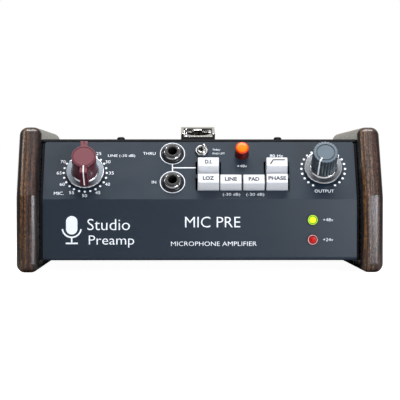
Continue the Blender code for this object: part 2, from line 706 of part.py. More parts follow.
def make_top_socket():
    frame = socket_frame()
    size = (SOCKET_WIDTH, SOCKET_LENGTH, SOCKET_FLANGE)
    shell = block("top_socket_shell", size, (0, 0, SOCKET_FLANGE / 2), frame, nickel())
    rim_size = (SOCKET_WIDTH, SOCKET_LENGTH, SOCKET_RIM_HEIGHT + MM)
    rim_middle = SOCKET_FLANGE + (SOCKET_RIM_HEIGHT - MM) / 2
    rim = block("top_socket_rim", rim_size, (0, 0, rim_middle), frame, nickel())
    room_size = (SOCKET_WIDTH - 2 * SOCKET_RIM, SOCKET_LENGTH, 2 * rim_size[2])
    cut(rim, block("rim_room", room_size, (0, -SOCKET_REAR_RIM, rim_middle), frame, nickel()))
    add(shell, rim)
    add(shell, cylinder("top_socket_barrel", SOCKET_BARREL, -SOCKET_DEPTH, MM, frame, 24))
    cut(shell, cylinder("top_socket_bore", SOCKET_BORE, -SOCKET_DEPTH - 5 * MM, 5 * MM, frame, 24))
    cylinder("top_socket_insert", SOCKET_BORE - GAP, -SOCKET_DEPTH, -SOCKET_DEPTH + 3 * MM, frame, 20)
    foot = CASE_TOP + GAP
    under = GAP / math.cos(SOCKET_TILT)
    length = SOCKET_LENGTH * math.cos(SOCKET_TILT)
    front_height = CASE_TOP + 1.5 * MM - under
    rear_height = front_height + length * math.tan(SOCKET_TILT)
    rear = SOCKET_FRONT + length
    outline = [(SOCKET_FRONT, foot), (rear, foot), (rear, rear_height), (SOCKET_FRONT, front_height)]
    half = SOCKET_WIDTH / 2
    pod = extruded("top_socket_wedge", outline, -half, half, SIDE_ON, black_plastic())
    cut(pod, cylinder("wedge_bore", SOCKET_BARREL + GAP, -30 * MM, 10 * MM, frame, 24))


def make_rear_socket(name, spot, flange, barrel_sizes, finish):
    """Connector on the rear panel: a flange outside, a barrel through the hole and a blind bore."""
    barrel, bore, depth = (size * MM for size in barrel_sizes)
    frame = rear_frame(spot)
    socket = block(name, (flange[0] * MM, flange[1] * MM, 2 * MM), (0, 0, MM + GAP), frame, finish)
    add(socket, cylinder(name + "_barrel", barrel, -depth, MM, frame, 24))
    cut(socket, cylinder(name + "_bore", bore, -depth + 2 * MM, 5 * MM, frame, 24))


def make_can(name, spot, radius, height, bevel, finish):
    """Round can standing on the main board."""
    can = [
        (0, MAIN_BOARD_TOP + GAP), (radius, MAIN_BOARD_TOP + GAP),
        (radius, MAIN_BOARD_TOP + height - bevel), (radius - bevel, MAIN_BOARD_TOP + height),
        (0, MAIN_BOARD_TOP + height),
    ]
    turned(name, can, Matrix.Translation((*spot, 0)), finish, 24)


def make_boards():
    identity = Matrix.Identity(4)
    main_size = (180 * MM, 120 * MM, BOARD_THICKNESS)
    main_middle = (0, 20 * MM, MAIN_BOARD_TOP - BOARD_THICKNESS / 2)
    block("main_board", main_size, main_middle, identity, board_resin())
    front_size = (206 * MM, 42 * MM, BOARD_THICKNESS)
    front_middle = (0, 0, BOARD_HEIGHT - BOARD_THICKNESS / 2)
    frame = upper_frame((0, UPPER_FACE_LENGTH / 2))
    block("front_board", front_size, front_middle, frame, board_resin())
    make_can("input_transformer", (-50 * MM, 35 * MM), 15 * MM, 32 * MM, 1.5 * MM, nickel())
    make_can("reservoir_capacitor", (0, 52 * MM), 8 * MM, 30 * MM, 0.8 * MM, black_plastic())
    stack = (40 * MM, 34 * MM, 36 * MM)
    stack_middle = (55 * MM, 35 * MM, MAIN_BOARD_TOP + GAP + stack[2] / 2)
    block("output_transformer", stack, stack_middle, identity, steel())


def build():
    clear_scene()
    for name, side in (("left", -1), ("right", 1)):
        make_cheek(name + "_cheek", side)
        for end, y in zip(("front", "rear"), CHEEK_SCREW_Y):
            make_cheek_screw(f"{name}_cheek_screw_{end}", side, y)
    for end, (x, y) in zip(("left_front", "left_rear", "right_front", "right_rear"), cover_screw_spots()):
        make_cover_screw("cover_screw_" + end, x, y)
    make_front_panel()
    make_chassis_tray()
    make_top_cover()
    make_rear_panel()
    make_gain()
    make_output()
    for name, spot in JACK_PLACES.items():
        make_jack(name, spot)
    make_toggle()
    make_phantom_button()
    for key in KEYS:
        make_key(*key)
    make_lamp("green", LAMP_PLACES["green"], green_lens())
    make_lamp("red", LAMP_PLACES["red"], red_lens())
    make_top_socket()
    make_rear_socket("rear_output_socket", REAR_SOCKET_PLACE, (26, 31), (11.5, 9, 16), nickel())
    make_rear_socket("power_inlet", POWER_INLET_PLACE, (24, 24), (9, 6.5, 14), black_plastic())
    make_boards()


build()
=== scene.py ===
"""Looks of the desk-top microphone preamp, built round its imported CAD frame."""

import json
from math import atan2, cos, hypot, pi, radians, sin, tan

import bmesh
import bpy
from mathutils import Matrix, Vector


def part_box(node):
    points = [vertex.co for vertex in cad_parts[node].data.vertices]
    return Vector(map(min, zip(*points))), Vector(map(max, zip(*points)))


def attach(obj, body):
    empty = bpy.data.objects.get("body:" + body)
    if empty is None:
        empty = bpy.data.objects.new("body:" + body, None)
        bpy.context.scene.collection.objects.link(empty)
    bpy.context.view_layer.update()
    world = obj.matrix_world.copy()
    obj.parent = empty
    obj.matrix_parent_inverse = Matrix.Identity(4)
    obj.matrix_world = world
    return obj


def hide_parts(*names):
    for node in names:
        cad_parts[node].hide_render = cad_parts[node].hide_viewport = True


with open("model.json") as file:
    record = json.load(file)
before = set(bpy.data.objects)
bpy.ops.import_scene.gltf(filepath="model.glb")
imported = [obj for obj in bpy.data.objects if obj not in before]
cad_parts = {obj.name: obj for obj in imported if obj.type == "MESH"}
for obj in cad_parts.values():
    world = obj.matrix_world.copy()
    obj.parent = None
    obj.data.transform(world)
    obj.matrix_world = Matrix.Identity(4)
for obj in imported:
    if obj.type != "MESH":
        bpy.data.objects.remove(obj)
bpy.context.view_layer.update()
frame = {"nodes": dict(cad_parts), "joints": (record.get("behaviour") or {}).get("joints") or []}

MM = 0.001
LEAN = radians(30)
SHEET = 2 * MM
EDGE = 6.1 * MM
CORNER = 6.5 * MM
KNEE = 54.4 * MM
PRINT_LIFT = 0.03 * MM
PRINT_DEPTH = 0.05 * MM
ROOT = "case"

SOCKET_SLOPE = radians(11.5)
TOGGLE_LEAN = radians(13)
OUTPUT_REST = radians(-30)
DOT_PITCH = 15
INK_GLOW = 0.22
PAPER_GLOW = 0.97
LABEL_SHIFT = -0.4 * MM
BARREL_WALL = 1.5 * MM
BARREL_LAP = 0.02 * MM

IMAGE_PIXELS = 400
FOCAL_PIXELS = 1657
SENSOR = 36
CAMERA_DISTANCE = 1.16

PANEL_LOW, PANEL_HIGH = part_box("front_panel")
FACE = (PANEL_HIGH.y - PANEL_LOW.y - SHEET * cos(LEAN)) / sin(LEAN)
FOLD = PANEL_HIGH.z - FACE * cos(LEAN)
UP = Vector((0, sin(LEAN), cos(LEAN)))
OUT = Vector((0, -cos(LEAN), sin(LEAN)))
SIDE_ON = Matrix(((0, 0, 1, 0), (1, 0, 0, 0), (0, 1, 0, 0), (0, 0, 0, 1)))


def mm(*lengths):
    """Lengths in millimetres, as metres."""
    return tuple(length * MM for length in lengths)


# ---------------------------------------------------------------- places

def on_upper(x, up, out=0.0):
    """Frame on the upper face: X right, Y up the slope from the fold, Z out of the panel."""
    spot = Vector((x, PANEL_LOW.y, FOLD)) + UP * up + OUT * out
    return Matrix.Translation(spot) @ Matrix.Rotation(pi / 2 - LEAN, 4, "X")


def on_lower(x, z, out=0.0):
    """Frame on the lower face: X right, Y up, Z out of the panel."""
    return Matrix.Translation((x, PANEL_LOW.y - out, z)) @ Matrix.Rotation(pi / 2, 4, "X")


def on_back(x, z):
    """Frame on the rear panel: Z out of the back, Y down."""
    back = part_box("rear_panel")[1].y
    return Matrix.Translation((x, back, z)) @ Matrix.Rotation(-pi / 2, 4, "X")


UPPER = on_upper(0, 0)


def local_box(node, place):
    """Lowest and highest corner of a CAD node, measured in a frame."""
    inverse = place.inverted()
    points = [inverse @ vertex.co for vertex in frame["nodes"][node].data.vertices]
    return (Vector([min(p[i] for p in points) for i in range(3)]),
            Vector([max(p[i] for p in points) for i in range(3)]))


def centre_on(node, place=UPPER):
    """Frame moved along its face to the middle of a CAD node, and the node's box in it."""
    low, high = local_box(node, place)
    middle = (low + high) / 2
    moved = place @ Matrix.Translation((middle.x, middle.y, 0))
    return moved, local_box(node, moved)


# ---------------------------------------------------------------- meshes

def piece(name, mesh, place, material, body, nodes=(), smooth=35):
    """One visible piece: a mesh in its own frame, with its material, body and CAD nodes."""
    if smooth:
        mesh.shade_smooth()
        mesh.set_sharp_from_angle(angle=radians(smooth))
    mesh.materials.append(material)
    obj = bpy.data.objects.new(name, mesh)
    bpy.context.scene.collection.objects.link(obj)
    obj.matrix_world = place
    if smooth:
        obj.modifiers.new("flat_faces", "WEIGHTED_NORMAL").keep_sharp = True
    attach(obj, body)
    if nodes:
        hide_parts(*nodes)
    return obj


def to_mesh(name, shape):
    bmesh.ops.recalc_face_normals(shape, faces=shape.faces)
    mesh = bpy.data.meshes.new(name)
    shape.to_mesh(mesh)
    shape.free()
    return mesh


def lofted(outlines):
    """Closed mesh through outlines of equal length, each a list of (x, y, z) points."""
    shape = bmesh.new()
    rings = [[shape.verts.new(point) for point in outline] for outline in outlines]
    for low, high in zip(rings, rings[1:]):
        for i, corner in enumerate(low):
            shape.faces.new((low[i - 1], corner, high[i], high[i - 1]))
    shape.faces.new(rings[0])
    shape.faces.new(rings[-1])
    return to_mesh("loft", shape)


def turned(profile, segments=64):
    """Closed mesh from a profile of (radius, height): it ends on the axis, or closes into a ring."""
    shape = bmesh.new()
    turns = [2 * pi * i / segments for i in range(segments)]
    rings = []
    for radius, height in profile:
        if radius == 0:
            rings.append([shape.verts.new((0, 0, height))] * segments)
        else:
            rings.append([shape.verts.new((radius * cos(a), radius * sin(a), height)) for a in turns])
    pairs = list(zip(rings, rings[1:]))
    if profile[0][0] > 0:
        pairs.append((rings[-1], rings[0]))
    for low, high in pairs:
        for i in range(segments):
            shape.faces.new(dict.fromkeys((low[i - 1], low[i], high[i], high[i - 1])))
    return to_mesh("turned", shape)


def round_points(radius, count, x=0.0, y=0.0):
    """Points spaced evenly round a circle."""
    turns = [2 * pi * k / count for k in range(count)]
    return [(x + radius * cos(turn), y + radius * sin(turn)) for turn in turns]


def hexagon_points(radius):
    return [(radius * cos(pi / 3 * k), radius * sin(pi / 3 * k)) for k in range(6)]


def rounded_rectangle(width, height, radius, steps=6, x=0.0, y=0.0):
    points = []
    for k, (sx, sy) in enumerate(((1, 1), (-1, 1), (-1, -1), (1, -1))):
        centre = Vector((x + sx * (width / 2 - radius), y + sy * (height / 2 - radius)))
        for i in range(steps + 1):
            angle = pi / 2 * (k + i / steps)
            points.append(centre + radius * Vector((cos(angle), sin(angle))))
    return points


def at_height(outline, height):
    return [(point[0], point[1], height) for point in outline]


def slab(width, height, low, high, radius, edge=0.0, x=0.0, y=0.0, steps=6):
    """Outlines of a plate with round corners and, where edge is given, a rounded upper rim."""
    outlines = [at_height(rounded_rectangle(width, height, radius, steps, x, y), low)]
    for k in range(5 if edge else 1):
        turn = pi / 2 * k / 4
        cut = edge * (1 - cos(turn))
        level = high - edge * (1 - sin(turn))
        ring = rounded_rectangle(width - 2 * cut, height - 2 * cut, max(radius - cut, 0.05 * MM), steps, x, y)
        outlines.append(at_height(ring, level))
    return outlines


def arc(centre, radius, start, stop, steps=6):
    """Points on an arc in a profile, in degrees."""
    turns = [radians(start + (stop - start) * k / steps) for k in range(steps + 1)]
    return [(centre[0] + radius * cos(a), centre[1] + radius * sin(a)) for a in turns]


def joined(meshes):
    """Several meshes as one. Each item is a mesh, or a mesh with the matrix that places it."""
    shape = bmesh.new()
    for item in meshes:
        mesh, place = item if isinstance(item, tuple) else (item, Matrix.Identity(4))
        mesh.transform(place)
        shape.from_mesh(mesh)
        bpy.data.meshes.remove(mesh)
    return to_mesh("joined", shape)


def boolean(mesh, other, operation="DIFFERENCE"):
    """The first mesh with the second cut from it, or joined to it."""
    target = bpy.data.objects.new("target", mesh)
    helper = bpy.data.objects.new("helper", other)
    for obj in (target, helper):
        bpy.context.scene.collection.objects.link(obj)
    modifier = target.modifiers.new("boolean", "BOOLEAN")
    modifier.operation = operation
    modifier.object = helper
    return settled(target, helper)


def settled(target, *helpers):
    """The object's mesh with its modifiers applied, and the object and its helpers removed."""
    bpy.context.view_layer.update()
    graph = bpy.context.evaluated_depsgraph_get()
    result = bpy.data.meshes.new_from_object(target.evaluated_get(graph))
    for obj in (target, *helpers):
        bpy.data.objects.remove(obj, do_unlink=True)
    return result


def bevelled(mesh, width, segments=3, angle=40):
    target = bpy.data.objects.new("target", mesh)
    bpy.context.scene.collection.objects.link(target)
    modifier = target.modifiers.new("bevel", "BEVEL")
    modifier.width = width
    modifier.segments = segments
    modifier.angle_limit = radians(angle)
    return settled(target)


def rounded_outline(corners, inset=0.0, steps=8):
    """Outline through (point, radius) corners, anticlockwise, moved inwards by inset."""
    points = []
    for i, (corner, radius) in enumerate(corners):
        here = Vector(corner)
        to_last = (Vector(corners[i - 1][0]) - here).normalized()
        to_next = (Vector(corners[(i + 1) % len(corners)][0]) - here).normalized()
        half_angle = to_last.angle(to_next) / 2
        centre = here + (to_last + to_next).normalized() * max(radius, inset) / sin(half_angle)
        if radius <= inset or radius == 0:
            points.append(centre)
            continue
        start = atan2(to_last.x, -to_last.y)
        sweep = pi - 2 * half_angle
        for k in range(steps + 1):
            angle = start + sweep * k / steps
            points.append(centre + (radius - inset) * Vector((cos(angle), sin(angle))))
    return points


# ---------------------------------------------------------------- materials

class Nodes:
    """A material's node tree, with short calls for the few nodes used here."""

    def __init__(self, name, color, roughness, metallic=0.0, **constants):
        self.material = bpy.data.materials.new(name)
        self.material.use_nodes = True
        self.tree = self.material.node_tree
        self.shader = self.tree.nodes["Principled BSDF"]
        self.shader.inputs["Base Color"].default_value = (*color, 1)
        self.shader.inputs["Roughness"].default_value = roughness
        self.shader.inputs["Metallic"].default_value = metallic
        for key, value in constants.items():
            self.shader.inputs[key.replace("_", " ")].default_value = value
        self.where = self.tree.nodes.new("ShaderNodeTexCoord").outputs["Object"]

    def add(self, kind, **values):
        node = self.tree.nodes.new("ShaderNode" + kind)
        for key, value in values.items():
            setattr(node, key, value)
        return node

    def link(self, value, socket):
        self.tree.links.new(value, socket)

    def stretched(self, scale, source=None):
        mapping = self.add("Mapping")
        mapping.inputs["Scale"].default_value = scale
        self.link(source or self.where, mapping.inputs["Vector"])
        return mapping.outputs["Vector"]

    def noise(self, scale, detail=3.0, rough=0.5, vector=None, distortion=0.0):
        node = self.add("TexNoise")
        node.inputs["Scale"].default_value = scale
        node.inputs["Detail"].default_value = detail
        node.inputs["Roughness"].default_value = rough
        node.inputs["Distortion"].default_value = distortion
        self.link(vector or self.where, node.inputs["Vector"])
        return node.outputs["Fac"]

    def ramp(self, value, stops):
        """Colour, or grey where a stop is one number, along a value."""
        node = self.add("ValToRGB")
        elements = node.color_ramp.elements
        while len(elements) < len(stops):
            elements.new(0.5)
        for element, (position, color) in zip(elements, stops):
            element.position = position
            element.color = (*color, 1) if isinstance(color, tuple) else (color, color, color, 1)
        self.link(value, node.inputs["Fac"])
        return node.outputs["Color"]

    def mix(self, factor, first, second, blend="MIX"):
        node = self.add("Mix", data_type="RGBA", blend_type=blend)
        sockets = [s for s in node.inputs if s.type == "RGBA"]
        for value, socket in ((first, sockets[0]), (second, sockets[1]), (factor, node.inputs[0])):
            if isinstance(value, bpy.types.NodeSocket):
                self.link(value, socket)
            else:
                socket.default_value = (*value, 1) if isinstance(value, tuple) else value
        return [s for s in node.outputs if s.type == "RGBA"][0]

    def math(self, operation, first, second):
        node = self.add("Math", operation=operation)
        for value, socket in ((first, node.inputs[0]), (second, node.inputs[1])):
            if isinstance(value, bpy.types.NodeSocket):
                self.link(value, socket)
            else:
                socket.default_value = value
        return node.outputs[0]

    def color(self, value):
        self.link(value, self.shader.inputs["Base Color"])

    def roughness(self, value):
        self.link(value, self.shader.inputs["Roughness"])

    def glow(self, value, strength):
        self.link(value, self.shader.inputs["Emission Color"])
        self.shader.inputs["Emission Strength"].default_value = strength

    def bump(self, value, strength, distance=0.1 * MM, socket="Normal"):
        node = self.add("Bump")
        node.inputs["Strength"].default_value = strength
        node.inputs["Distance"].default_value = distance
        self.link(value, node.inputs["Height"])
        self.link(node.outputs["Normal"], self.shader.inputs[socket])


# The darkest tone below is painted shade for the cheeks' rounded inner edges beside the panel.
PAINTED_SHADE_WOOD = (0.005, 0.003, 0.002)
DARK_WOOD = (0.014, 0.005, 0.0025)
GOLD_WOOD = (0.13, 0.05, 0.009)
RED_WOOD = (0.06, 0.022, 0.012)
TAN_WOOD = (0.11, 0.054, 0.03)
# Tone of the wood's layers across each cheek's thickness, from its left side to its right. The dark stops at
# both ends are painted shade on the rounded edges, darkest on the inner edge beside the panel.
WOOD_LAYERS_AND_EDGE_SHADE = {
    "left_cheek": (
        (0.0, DARK_WOOD), (0.15, DARK_WOOD), (0.2, GOLD_WOOD), (0.28, GOLD_WOOD), (0.32, DARK_WOOD),
        (0.4, GOLD_WOOD),
        (0.48, RED_WOOD), (0.58, DARK_WOOD), (0.64, RED_WOOD), (0.76, RED_WOOD), (0.87, DARK_WOOD),
        (0.93, PAINTED_SHADE_WOOD),
    ),
    "right_cheek": (
        (0.0, PAINTED_SHADE_WOOD), (0.1, PAINTED_SHADE_WOOD), (0.15, GOLD_WOOD), (0.22, GOLD_WOOD), (0.26, DARK_WOOD),
        (0.31, TAN_WOOD), (0.4, TAN_WOOD), (0.45, DARK_WOOD), (0.5, TAN_WOOD), (0.59, TAN_WOOD),
        (0.63, DARK_WOOD),
        (0.7, RED_WOOD), (0.8, RED_WOOD), (0.86, DARK_WOOD),
    ),
}


def make_wood(name, low, high):
    """Oiled dark hardwood: layers across the cheek's thickness, with painted shade on both rounded edges,
    streaks and open pores.
    """
    n = Nodes(name + "_oiled_wood", DARK_WOOD, 0.4, Specular_IOR_Level=0.2, Coat_Weight=0.85,
              Coat_Roughness=0.21)
    split = n.add("SeparateXYZ")
    n.link(n.where, split.inputs[0])
    depth = n.math("DIVIDE", n.math("SUBTRACT", split.outputs["X"], low), high - low)
    drift = n.noise(1, 3, 0.55, n.stretched((40, 14, 16)))
    wobble = n.noise(1, 2, 0.5, n.stretched((300, 60, 90)))
    bend = n.math("ADD", n.math("MULTIPLY", n.math("SUBTRACT", drift, 0.5), 0.06),
                  n.math("MULTIPLY", n.math("SUBTRACT", wobble, 0.5), 0.07))
    # The layer ramp also paints shade on both rounded edges of the cheek.
    layers = n.ramp(n.math("ADD", depth, bend), WOOD_LAYERS_AND_EDGE_SHADE[name])
    streaks = n.ramp(n.noise(1, 4, 0.65, n.stretched((1700, 40, 44))),
                     [(0.36, 0.25), (0.5, 0.85), (0.64, 1.8)])
    grain = n.ramp(n.noise(1, 3, 0.65, n.stretched((700, 13, 420))), [(0.36, 0.35), (0.5, 0.95), (0.64, 1.7)])
    pores = n.noise(1, 2, 0.7, n.stretched((1500, 170, 800)))
    flecks = n.ramp(pores, [(0.38, 0.12), (0.46, 1.0)])
    color = n.mix(1.0, n.mix(1.0, layers, streaks, "MULTIPLY"), n.mix(1.0, grain, flecks, "MULTIPLY"),
                  "MULTIPLY")
    n.color(color)
    n.roughness(n.ramp(pores, [(0.35, 0.7), (0.6, 0.36)]))
    n.bump(n.mix(0.5, flecks, streaks), 0.9, 0.14 * MM)
    n.bump(n.mix(0.5, flecks, streaks), 0.6, 0.06 * MM, "Coat Normal")
    return n.material


def make_panel_paint():
    """Satin slate powder coat: fine orange peel, slight clouding and a few lighter specks."""
    n = Nodes("slate_paint", (0.02, 0.03, 0.041), 0.36, Specular_IOR_Level=0.4)
    cloud = n.noise(14, 4, 0.6)
    fleck = n.noise(2400, 2, 0.5)
    base = n.mix(cloud, (0.011, 0.022, 0.036), (0.015, 0.027, 0.044))
    n.color(n.mix(n.ramp(fleck, [(0.62, 0.0), (0.8, 0.2)]), base, (0.05, 0.065, 0.08)))
    n.roughness(n.ramp(n.noise(60, 4, 0.6), [(0.3, 0.32), (0.7, 0.4)]))
    n.bump(fleck, 0.12, 0.05 * MM)
    return n.material


def make_black_paint():
    """Black wrinkle-textured coat."""
    n = Nodes("black_paint", (0.006, 0.006, 0.008), 0.6, Specular_IOR_Level=0.15)
    cells = n.noise(1300, 3, 0.6)
    n.color(n.mix(n.noise(20, 3, 0.6), (0.004, 0.004, 0.006), (0.009, 0.009, 0.011)))
    n.roughness(n.ramp(cells, [(0.3, 0.55), (0.7, 0.75)]))
    n.bump(cells, 0.4, 0.12 * MM)
    return n.material


def make_plastic(name, dark, light, low=0.28, high=0.4, scale=900, bump=0.1, **constants):
    """Moulded plastic: faint clouding in the colour and a fine moulded grain."""
    n = Nodes(name, light, low, **constants)
    n.color(n.mix(n.noise(70, 3, 0.6), dark, light))
    n.roughness(n.ramp(n.noise(160, 4, 0.6), [(0.3, low), (0.7, high)]))
    n.bump(n.noise(scale, 3, 0.5), bump, 0.05 * MM)
    return n.material


def make_metal(name, dark, light, low, high, stretch=(1, 1, 1), bump=0.06, **constants):
    """Plated or plain metal with fine scratches and small stains."""
    n = Nodes(name, light, low, 1.0, **constants)
    scratch = n.noise(700, 3, 0.6, n.stretched(stretch))
    n.color(n.mix(n.noise(90, 4, 0.65), dark, light))
    n.roughness(n.ramp(scratch, [(0.3, low), (0.75, high)]))
    n.bump(scratch, bump, 0.03 * MM)
    return n.material


def make_spun(name, dark, light, low, high):
    """Spun metal: fine grooves round the piece's own axis."""
    n = Nodes(name, light, low, 1.0, Anisotropic=0.6)
    split = n.add("SeparateXYZ")
    n.link(n.where, split.inputs[0])
    square = n.math("ADD", n.math("POWER", split.outputs["X"], 2), n.math("POWER", split.outputs["Y"], 2))
    radius = n.math("SQRT", square, 0)
    combined = n.add("CombineXYZ")
    n.link(radius, combined.inputs[0])
    grooves = n.noise(5200, 2, 0.6, combined.outputs[0])
    n.color(n.mix(grooves, dark, light))
    n.roughness(n.ramp(grooves, [(0.3, low), (0.7, high)]))
    n.bump(grooves, 0.18, 0.04 * MM)
    return n.material


def make_lens(name, dark, light, strength):
    """Lit translucent plastic, brighter at its middle."""
    n = Nodes(name, light, 0.3, Specular_IOR_Level=0.3)
    cloud = n.noise(260, 3, 0.6)
    tint = n.mix(cloud, dark, light)
    n.color(tint)
    n.glow(tint, strength)
    n.bump(cloud, 0.05, 0.05 * MM)
    return n.material


def make_board():
    """Circuit board: green mask over a faint weave, with copper showing through."""
    n = Nodes("circuit_board", (0.02, 0.12, 0.05), 0.35)
    weave = n.noise(420, 2, 0.5)
    n.color(n.mix(n.ramp(n.noise(60, 2, 0.4), [(0.48, 0.0), (0.52, 1.0)]), (0.01, 0.07, 0.03),
                  (0.02, 0.13, 0.055)))
    n.bump(weave, 0.2, 0.05 * MM)
    return n.material


def make_ink():
    """White screen print, with a slight glow so that it stays white in the shade of the case."""
    n = Nodes("white_ink", (0.85, 0.88, 0.92), 0.55)
    tint = n.mix(n.noise(300, 3, 0.6), (0.82, 0.86, 0.91), (0.9, 0.93, 0.97))
    n.color(tint)
    n.glow(tint, INK_GLOW)
    n.roughness(n.ramp(n.noise(900, 2, 0.5), [(0.3, 0.5), (0.7, 0.62)]))
    return n.material


SLATE = make_panel_paint()
BLACK_PAINT = make_black_paint()
MAROON = make_plastic("maroon_plastic", (0.07, 0.003, 0.011), (0.1, 0.005, 0.017), 0.26, 0.36)
# Lighter copy of the maroon plastic for the gain knob's upward faces: painted sheen.
PAINTED_SHEEN_MAROON = make_plastic("maroon_plastic_painted_sheen", (0.165, 0.036, 0.05), (0.19, 0.043, 0.06), 0.4, 0.5,
                     Specular_IOR_Level=0.4)
GREY = make_plastic("grey_plastic", (0.04, 0.056, 0.068), (0.058, 0.078, 0.092), 0.24, 0.36)
# Lighter copy of the grey plastic for the output knob's upward faces: painted sheen.
PAINTED_SHEEN_GREY = make_plastic("grey_plastic_painted_sheen", (0.11, 0.145, 0.175), (0.125, 0.165, 0.2), 0.4, 0.5,
                        Specular_IOR_Level=0.4)
WHITE = make_plastic("white_plastic", (0.74, 0.75, 0.78), (0.8, 0.81, 0.84), 0.25, 0.35, bump=0.05)
BLACK = make_plastic("black_plastic", (0.008, 0.008, 0.009), (0.016, 0.016, 0.018), 0.4, 0.55)
RED = make_plastic("red_plastic", (0.07, 0.002, 0.001), (0.12, 0.003, 0.0015), 0.22, 0.32)
NICKEL = make_metal("nickel_plate", (0.62, 0.61, 0.58), (0.84, 0.83, 0.8), 0.08, 0.18)
STEEL = make_metal("zinc_steel", (0.35, 0.35, 0.36), (0.5, 0.5, 0.52), 0.3, 0.45)
OXIDE = make_metal("black_oxide", (0.012, 0.012, 0.013), (0.03, 0.03, 0.032), 0.3, 0.45)
SATIN_SKIRT = make_spun("satin_aluminium", (0.17, 0.195, 0.225), (0.22, 0.25, 0.285), 0.45, 0.58)
SPUN = make_spun("spun_aluminium", (0.17, 0.18, 0.195), (0.3, 0.32, 0.34), 0.22, 0.32)
POLISHED = make_metal("polished_aluminium", (0.72, 0.73, 0.75), (0.86, 0.87, 0.89), 0.12, 0.2)
DARK_CHROME = make_metal("dark_chrome", (0.4, 0.4, 0.4), (0.58, 0.58, 0.58), 0.04, 0.08, bump=0.03)
SATIN_NICKEL = make_metal("satin_nickel", (0.72, 0.71, 0.67), (0.88, 0.87, 0.83), 0.28, 0.4)
GLOSS_BLACK = make_plastic("gloss_black_plastic", (0.006, 0.006, 0.007), (0.012, 0.012, 0.014), 0.12, 0.25)
INK = make_ink()
DARK_INK = make_plastic("dark_ink", (0.006, 0.007, 0.009), (0.01, 0.011, 0.014), 0.5, 0.6)
ORANGE_LENS = make_lens("orange_lens", (0.95, 0.12, 0.001), (1.0, 0.18, 0.002), 0.7)
GLOW = make_lens("glowing_red", (0.55, 0.03, 0.002), (0.75, 0.06, 0.003), 0.25)
# Each lamp's rim glows paler than its lens as a painted highlight, and its well is painted shade in the
# groove round the dome.
GREEN_LENS = make_lens("green_lens", (0.45, 0.85, 0.006), (0.7, 0.98, 0.01), 0.85)
GREEN_RIM_GLOW_AND_PAINTED_HIGHLIGHT = make_lens("green_rim_glow_and_painted_highlight", (0.4, 0.65, 0.06), (0.5, 0.75, 0.1), 0.45)
GREEN_WELL_PAINTED_SHADE = make_lens("green_well_painted_shade", (0.06, 0.16, 0.003), (0.1, 0.24, 0.004), 0.2)
RED_LENS = make_lens("red_lens", (0.3, 0.002, 0.001), (0.6, 0.006, 0.003), 0.4)
RED_RIM_GLOW_AND_PAINTED_HIGHLIGHT = make_lens("red_rim_glow_and_painted_highlight", (0.65, 0.3, 0.3), (0.75, 0.4, 0.4), 0.45)
RED_WELL_PAINTED_SHADE = make_lens("red_well_painted_shade", (0.03, 0.001, 0.001), (0.06, 0.002, 0.001), 0.1)
BOARD = make_board()


# ---------------------------------------------------------------- case

def make_cheek(name):
    low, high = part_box(name)
    side = 1 if low.x > 0 else -1
    knee_back = (high.z - KNEE) * tan(LEAN)
    corners = (
        ((low.y, low.z), CORNER), ((high.y, low.z), CORNER), ((high.y, high.z), 8 * MM),
        ((low.y + knee_back, high.z), CORNER), ((low.y, KNEE), 0),
    )
    thickness = high.x - low.x
    turns = [pi / 2 * k / 10 for k in range(11)]
    edge = [(EDGE * (1 - sin(turn)), EDGE * (1 - cos(turn))) for turn in turns]
    stations = edge[::-1] + [(thickness - depth, inset) for depth, inset in edge]
    outside = side * max(abs(low.x), abs(high.x))
    outlines = [
        [(point.x, point.y, outside - side * depth) for point in rounded_outline(corners, inset)]
        for depth, inset in stations
    ]
    mesh = lofted(outlines)
    mesh.transform(SIDE_ON)
    piece(name + "_wood", mesh, Matrix.Identity(4), make_wood(name, low.x, high.x), ROOT, [name],
          smooth=24)


def panel_section(top):
    """Points round the front panel's section, from its outer top end to its inner top end."""
    bend = 2.6 * MM
    bend_y, bend_z = PANEL_LOW.y + bend, PANEL_LOW.z + bend
    outer = arc((bend_y, bend_z), bend, 180, 270, 8)
    inner = arc((bend_y, bend_z), bend - SHEET, 270, 180, 8)
    flange = PANEL_LOW.y + 12 * MM
    start = Vector((0, PANEL_LOW.y, FOLD)) + UP * top
    end = start - OUT * SHEET
    inner_fold = (PANEL_LOW.y + SHEET, FOLD - SHEET * tan(LEAN / 2))
    return [(start.y, start.z), (PANEL_LOW.y, FOLD), *outer, (flange, PANEL_LOW.z),
            (flange, PANEL_LOW.z + SHEET), *inner, inner_fold, (end.y, end.z)]


def make_panel():
    half = PANEL_HIGH.x
    corner = 1.8 * MM
    outlines = []
    for k in range(7):
        turn = pi / 2 * k / 6
        section = panel_section(FACE - corner * (1 - sin(turn)))
        outlines.append([(y, z, half - corner * (1 - cos(turn))) for y, z in section])
    outlines += [[(y, z, -x) for y, z, x in outline] for outline in reversed(outlines)]
    mesh = lofted(outlines)
    mesh.transform(SIDE_ON)
    groups = [["di"], ["lowcut"], ["loz", "line", "pad", "phase"]]
    cutters = []
    for group in groups:
        boxes = [local_box(name + "_key", UPPER) for name in group]
        low = min(box[0].x for box in boxes) - WINDOW_SIDE
        high = max(box[1].x for box in boxes) + WINDOW_SIDE
        foot, head = boxes[0][0].y - WINDOW_END, boxes[0][1].y + WINDOW_END
        cutters.append((lofted(slab(high - low, head - foot, -8 * MM, 8 * MM, 0.3 * MM)),
                        on_upper((low + high) / 2, (foot + head) / 2)))
    for node, radius, upper in HOLES:
        place, _ = centre_on(node, UPPER if upper else on_lower(0, 0))
        cutters.append((turned([mm(0, -6), (radius, -6 * MM), (radius, 6 * MM), mm(0, 6)], 48), place))
    mesh = boolean(mesh, joined(cutters))
    mesh = bevelled(mesh, 0.25 * MM, 2, 50)
    piece("front_panel_painted", mesh, Matrix.Identity(4), SLATE, ROOT, ["front_panel"],
          smooth=20)


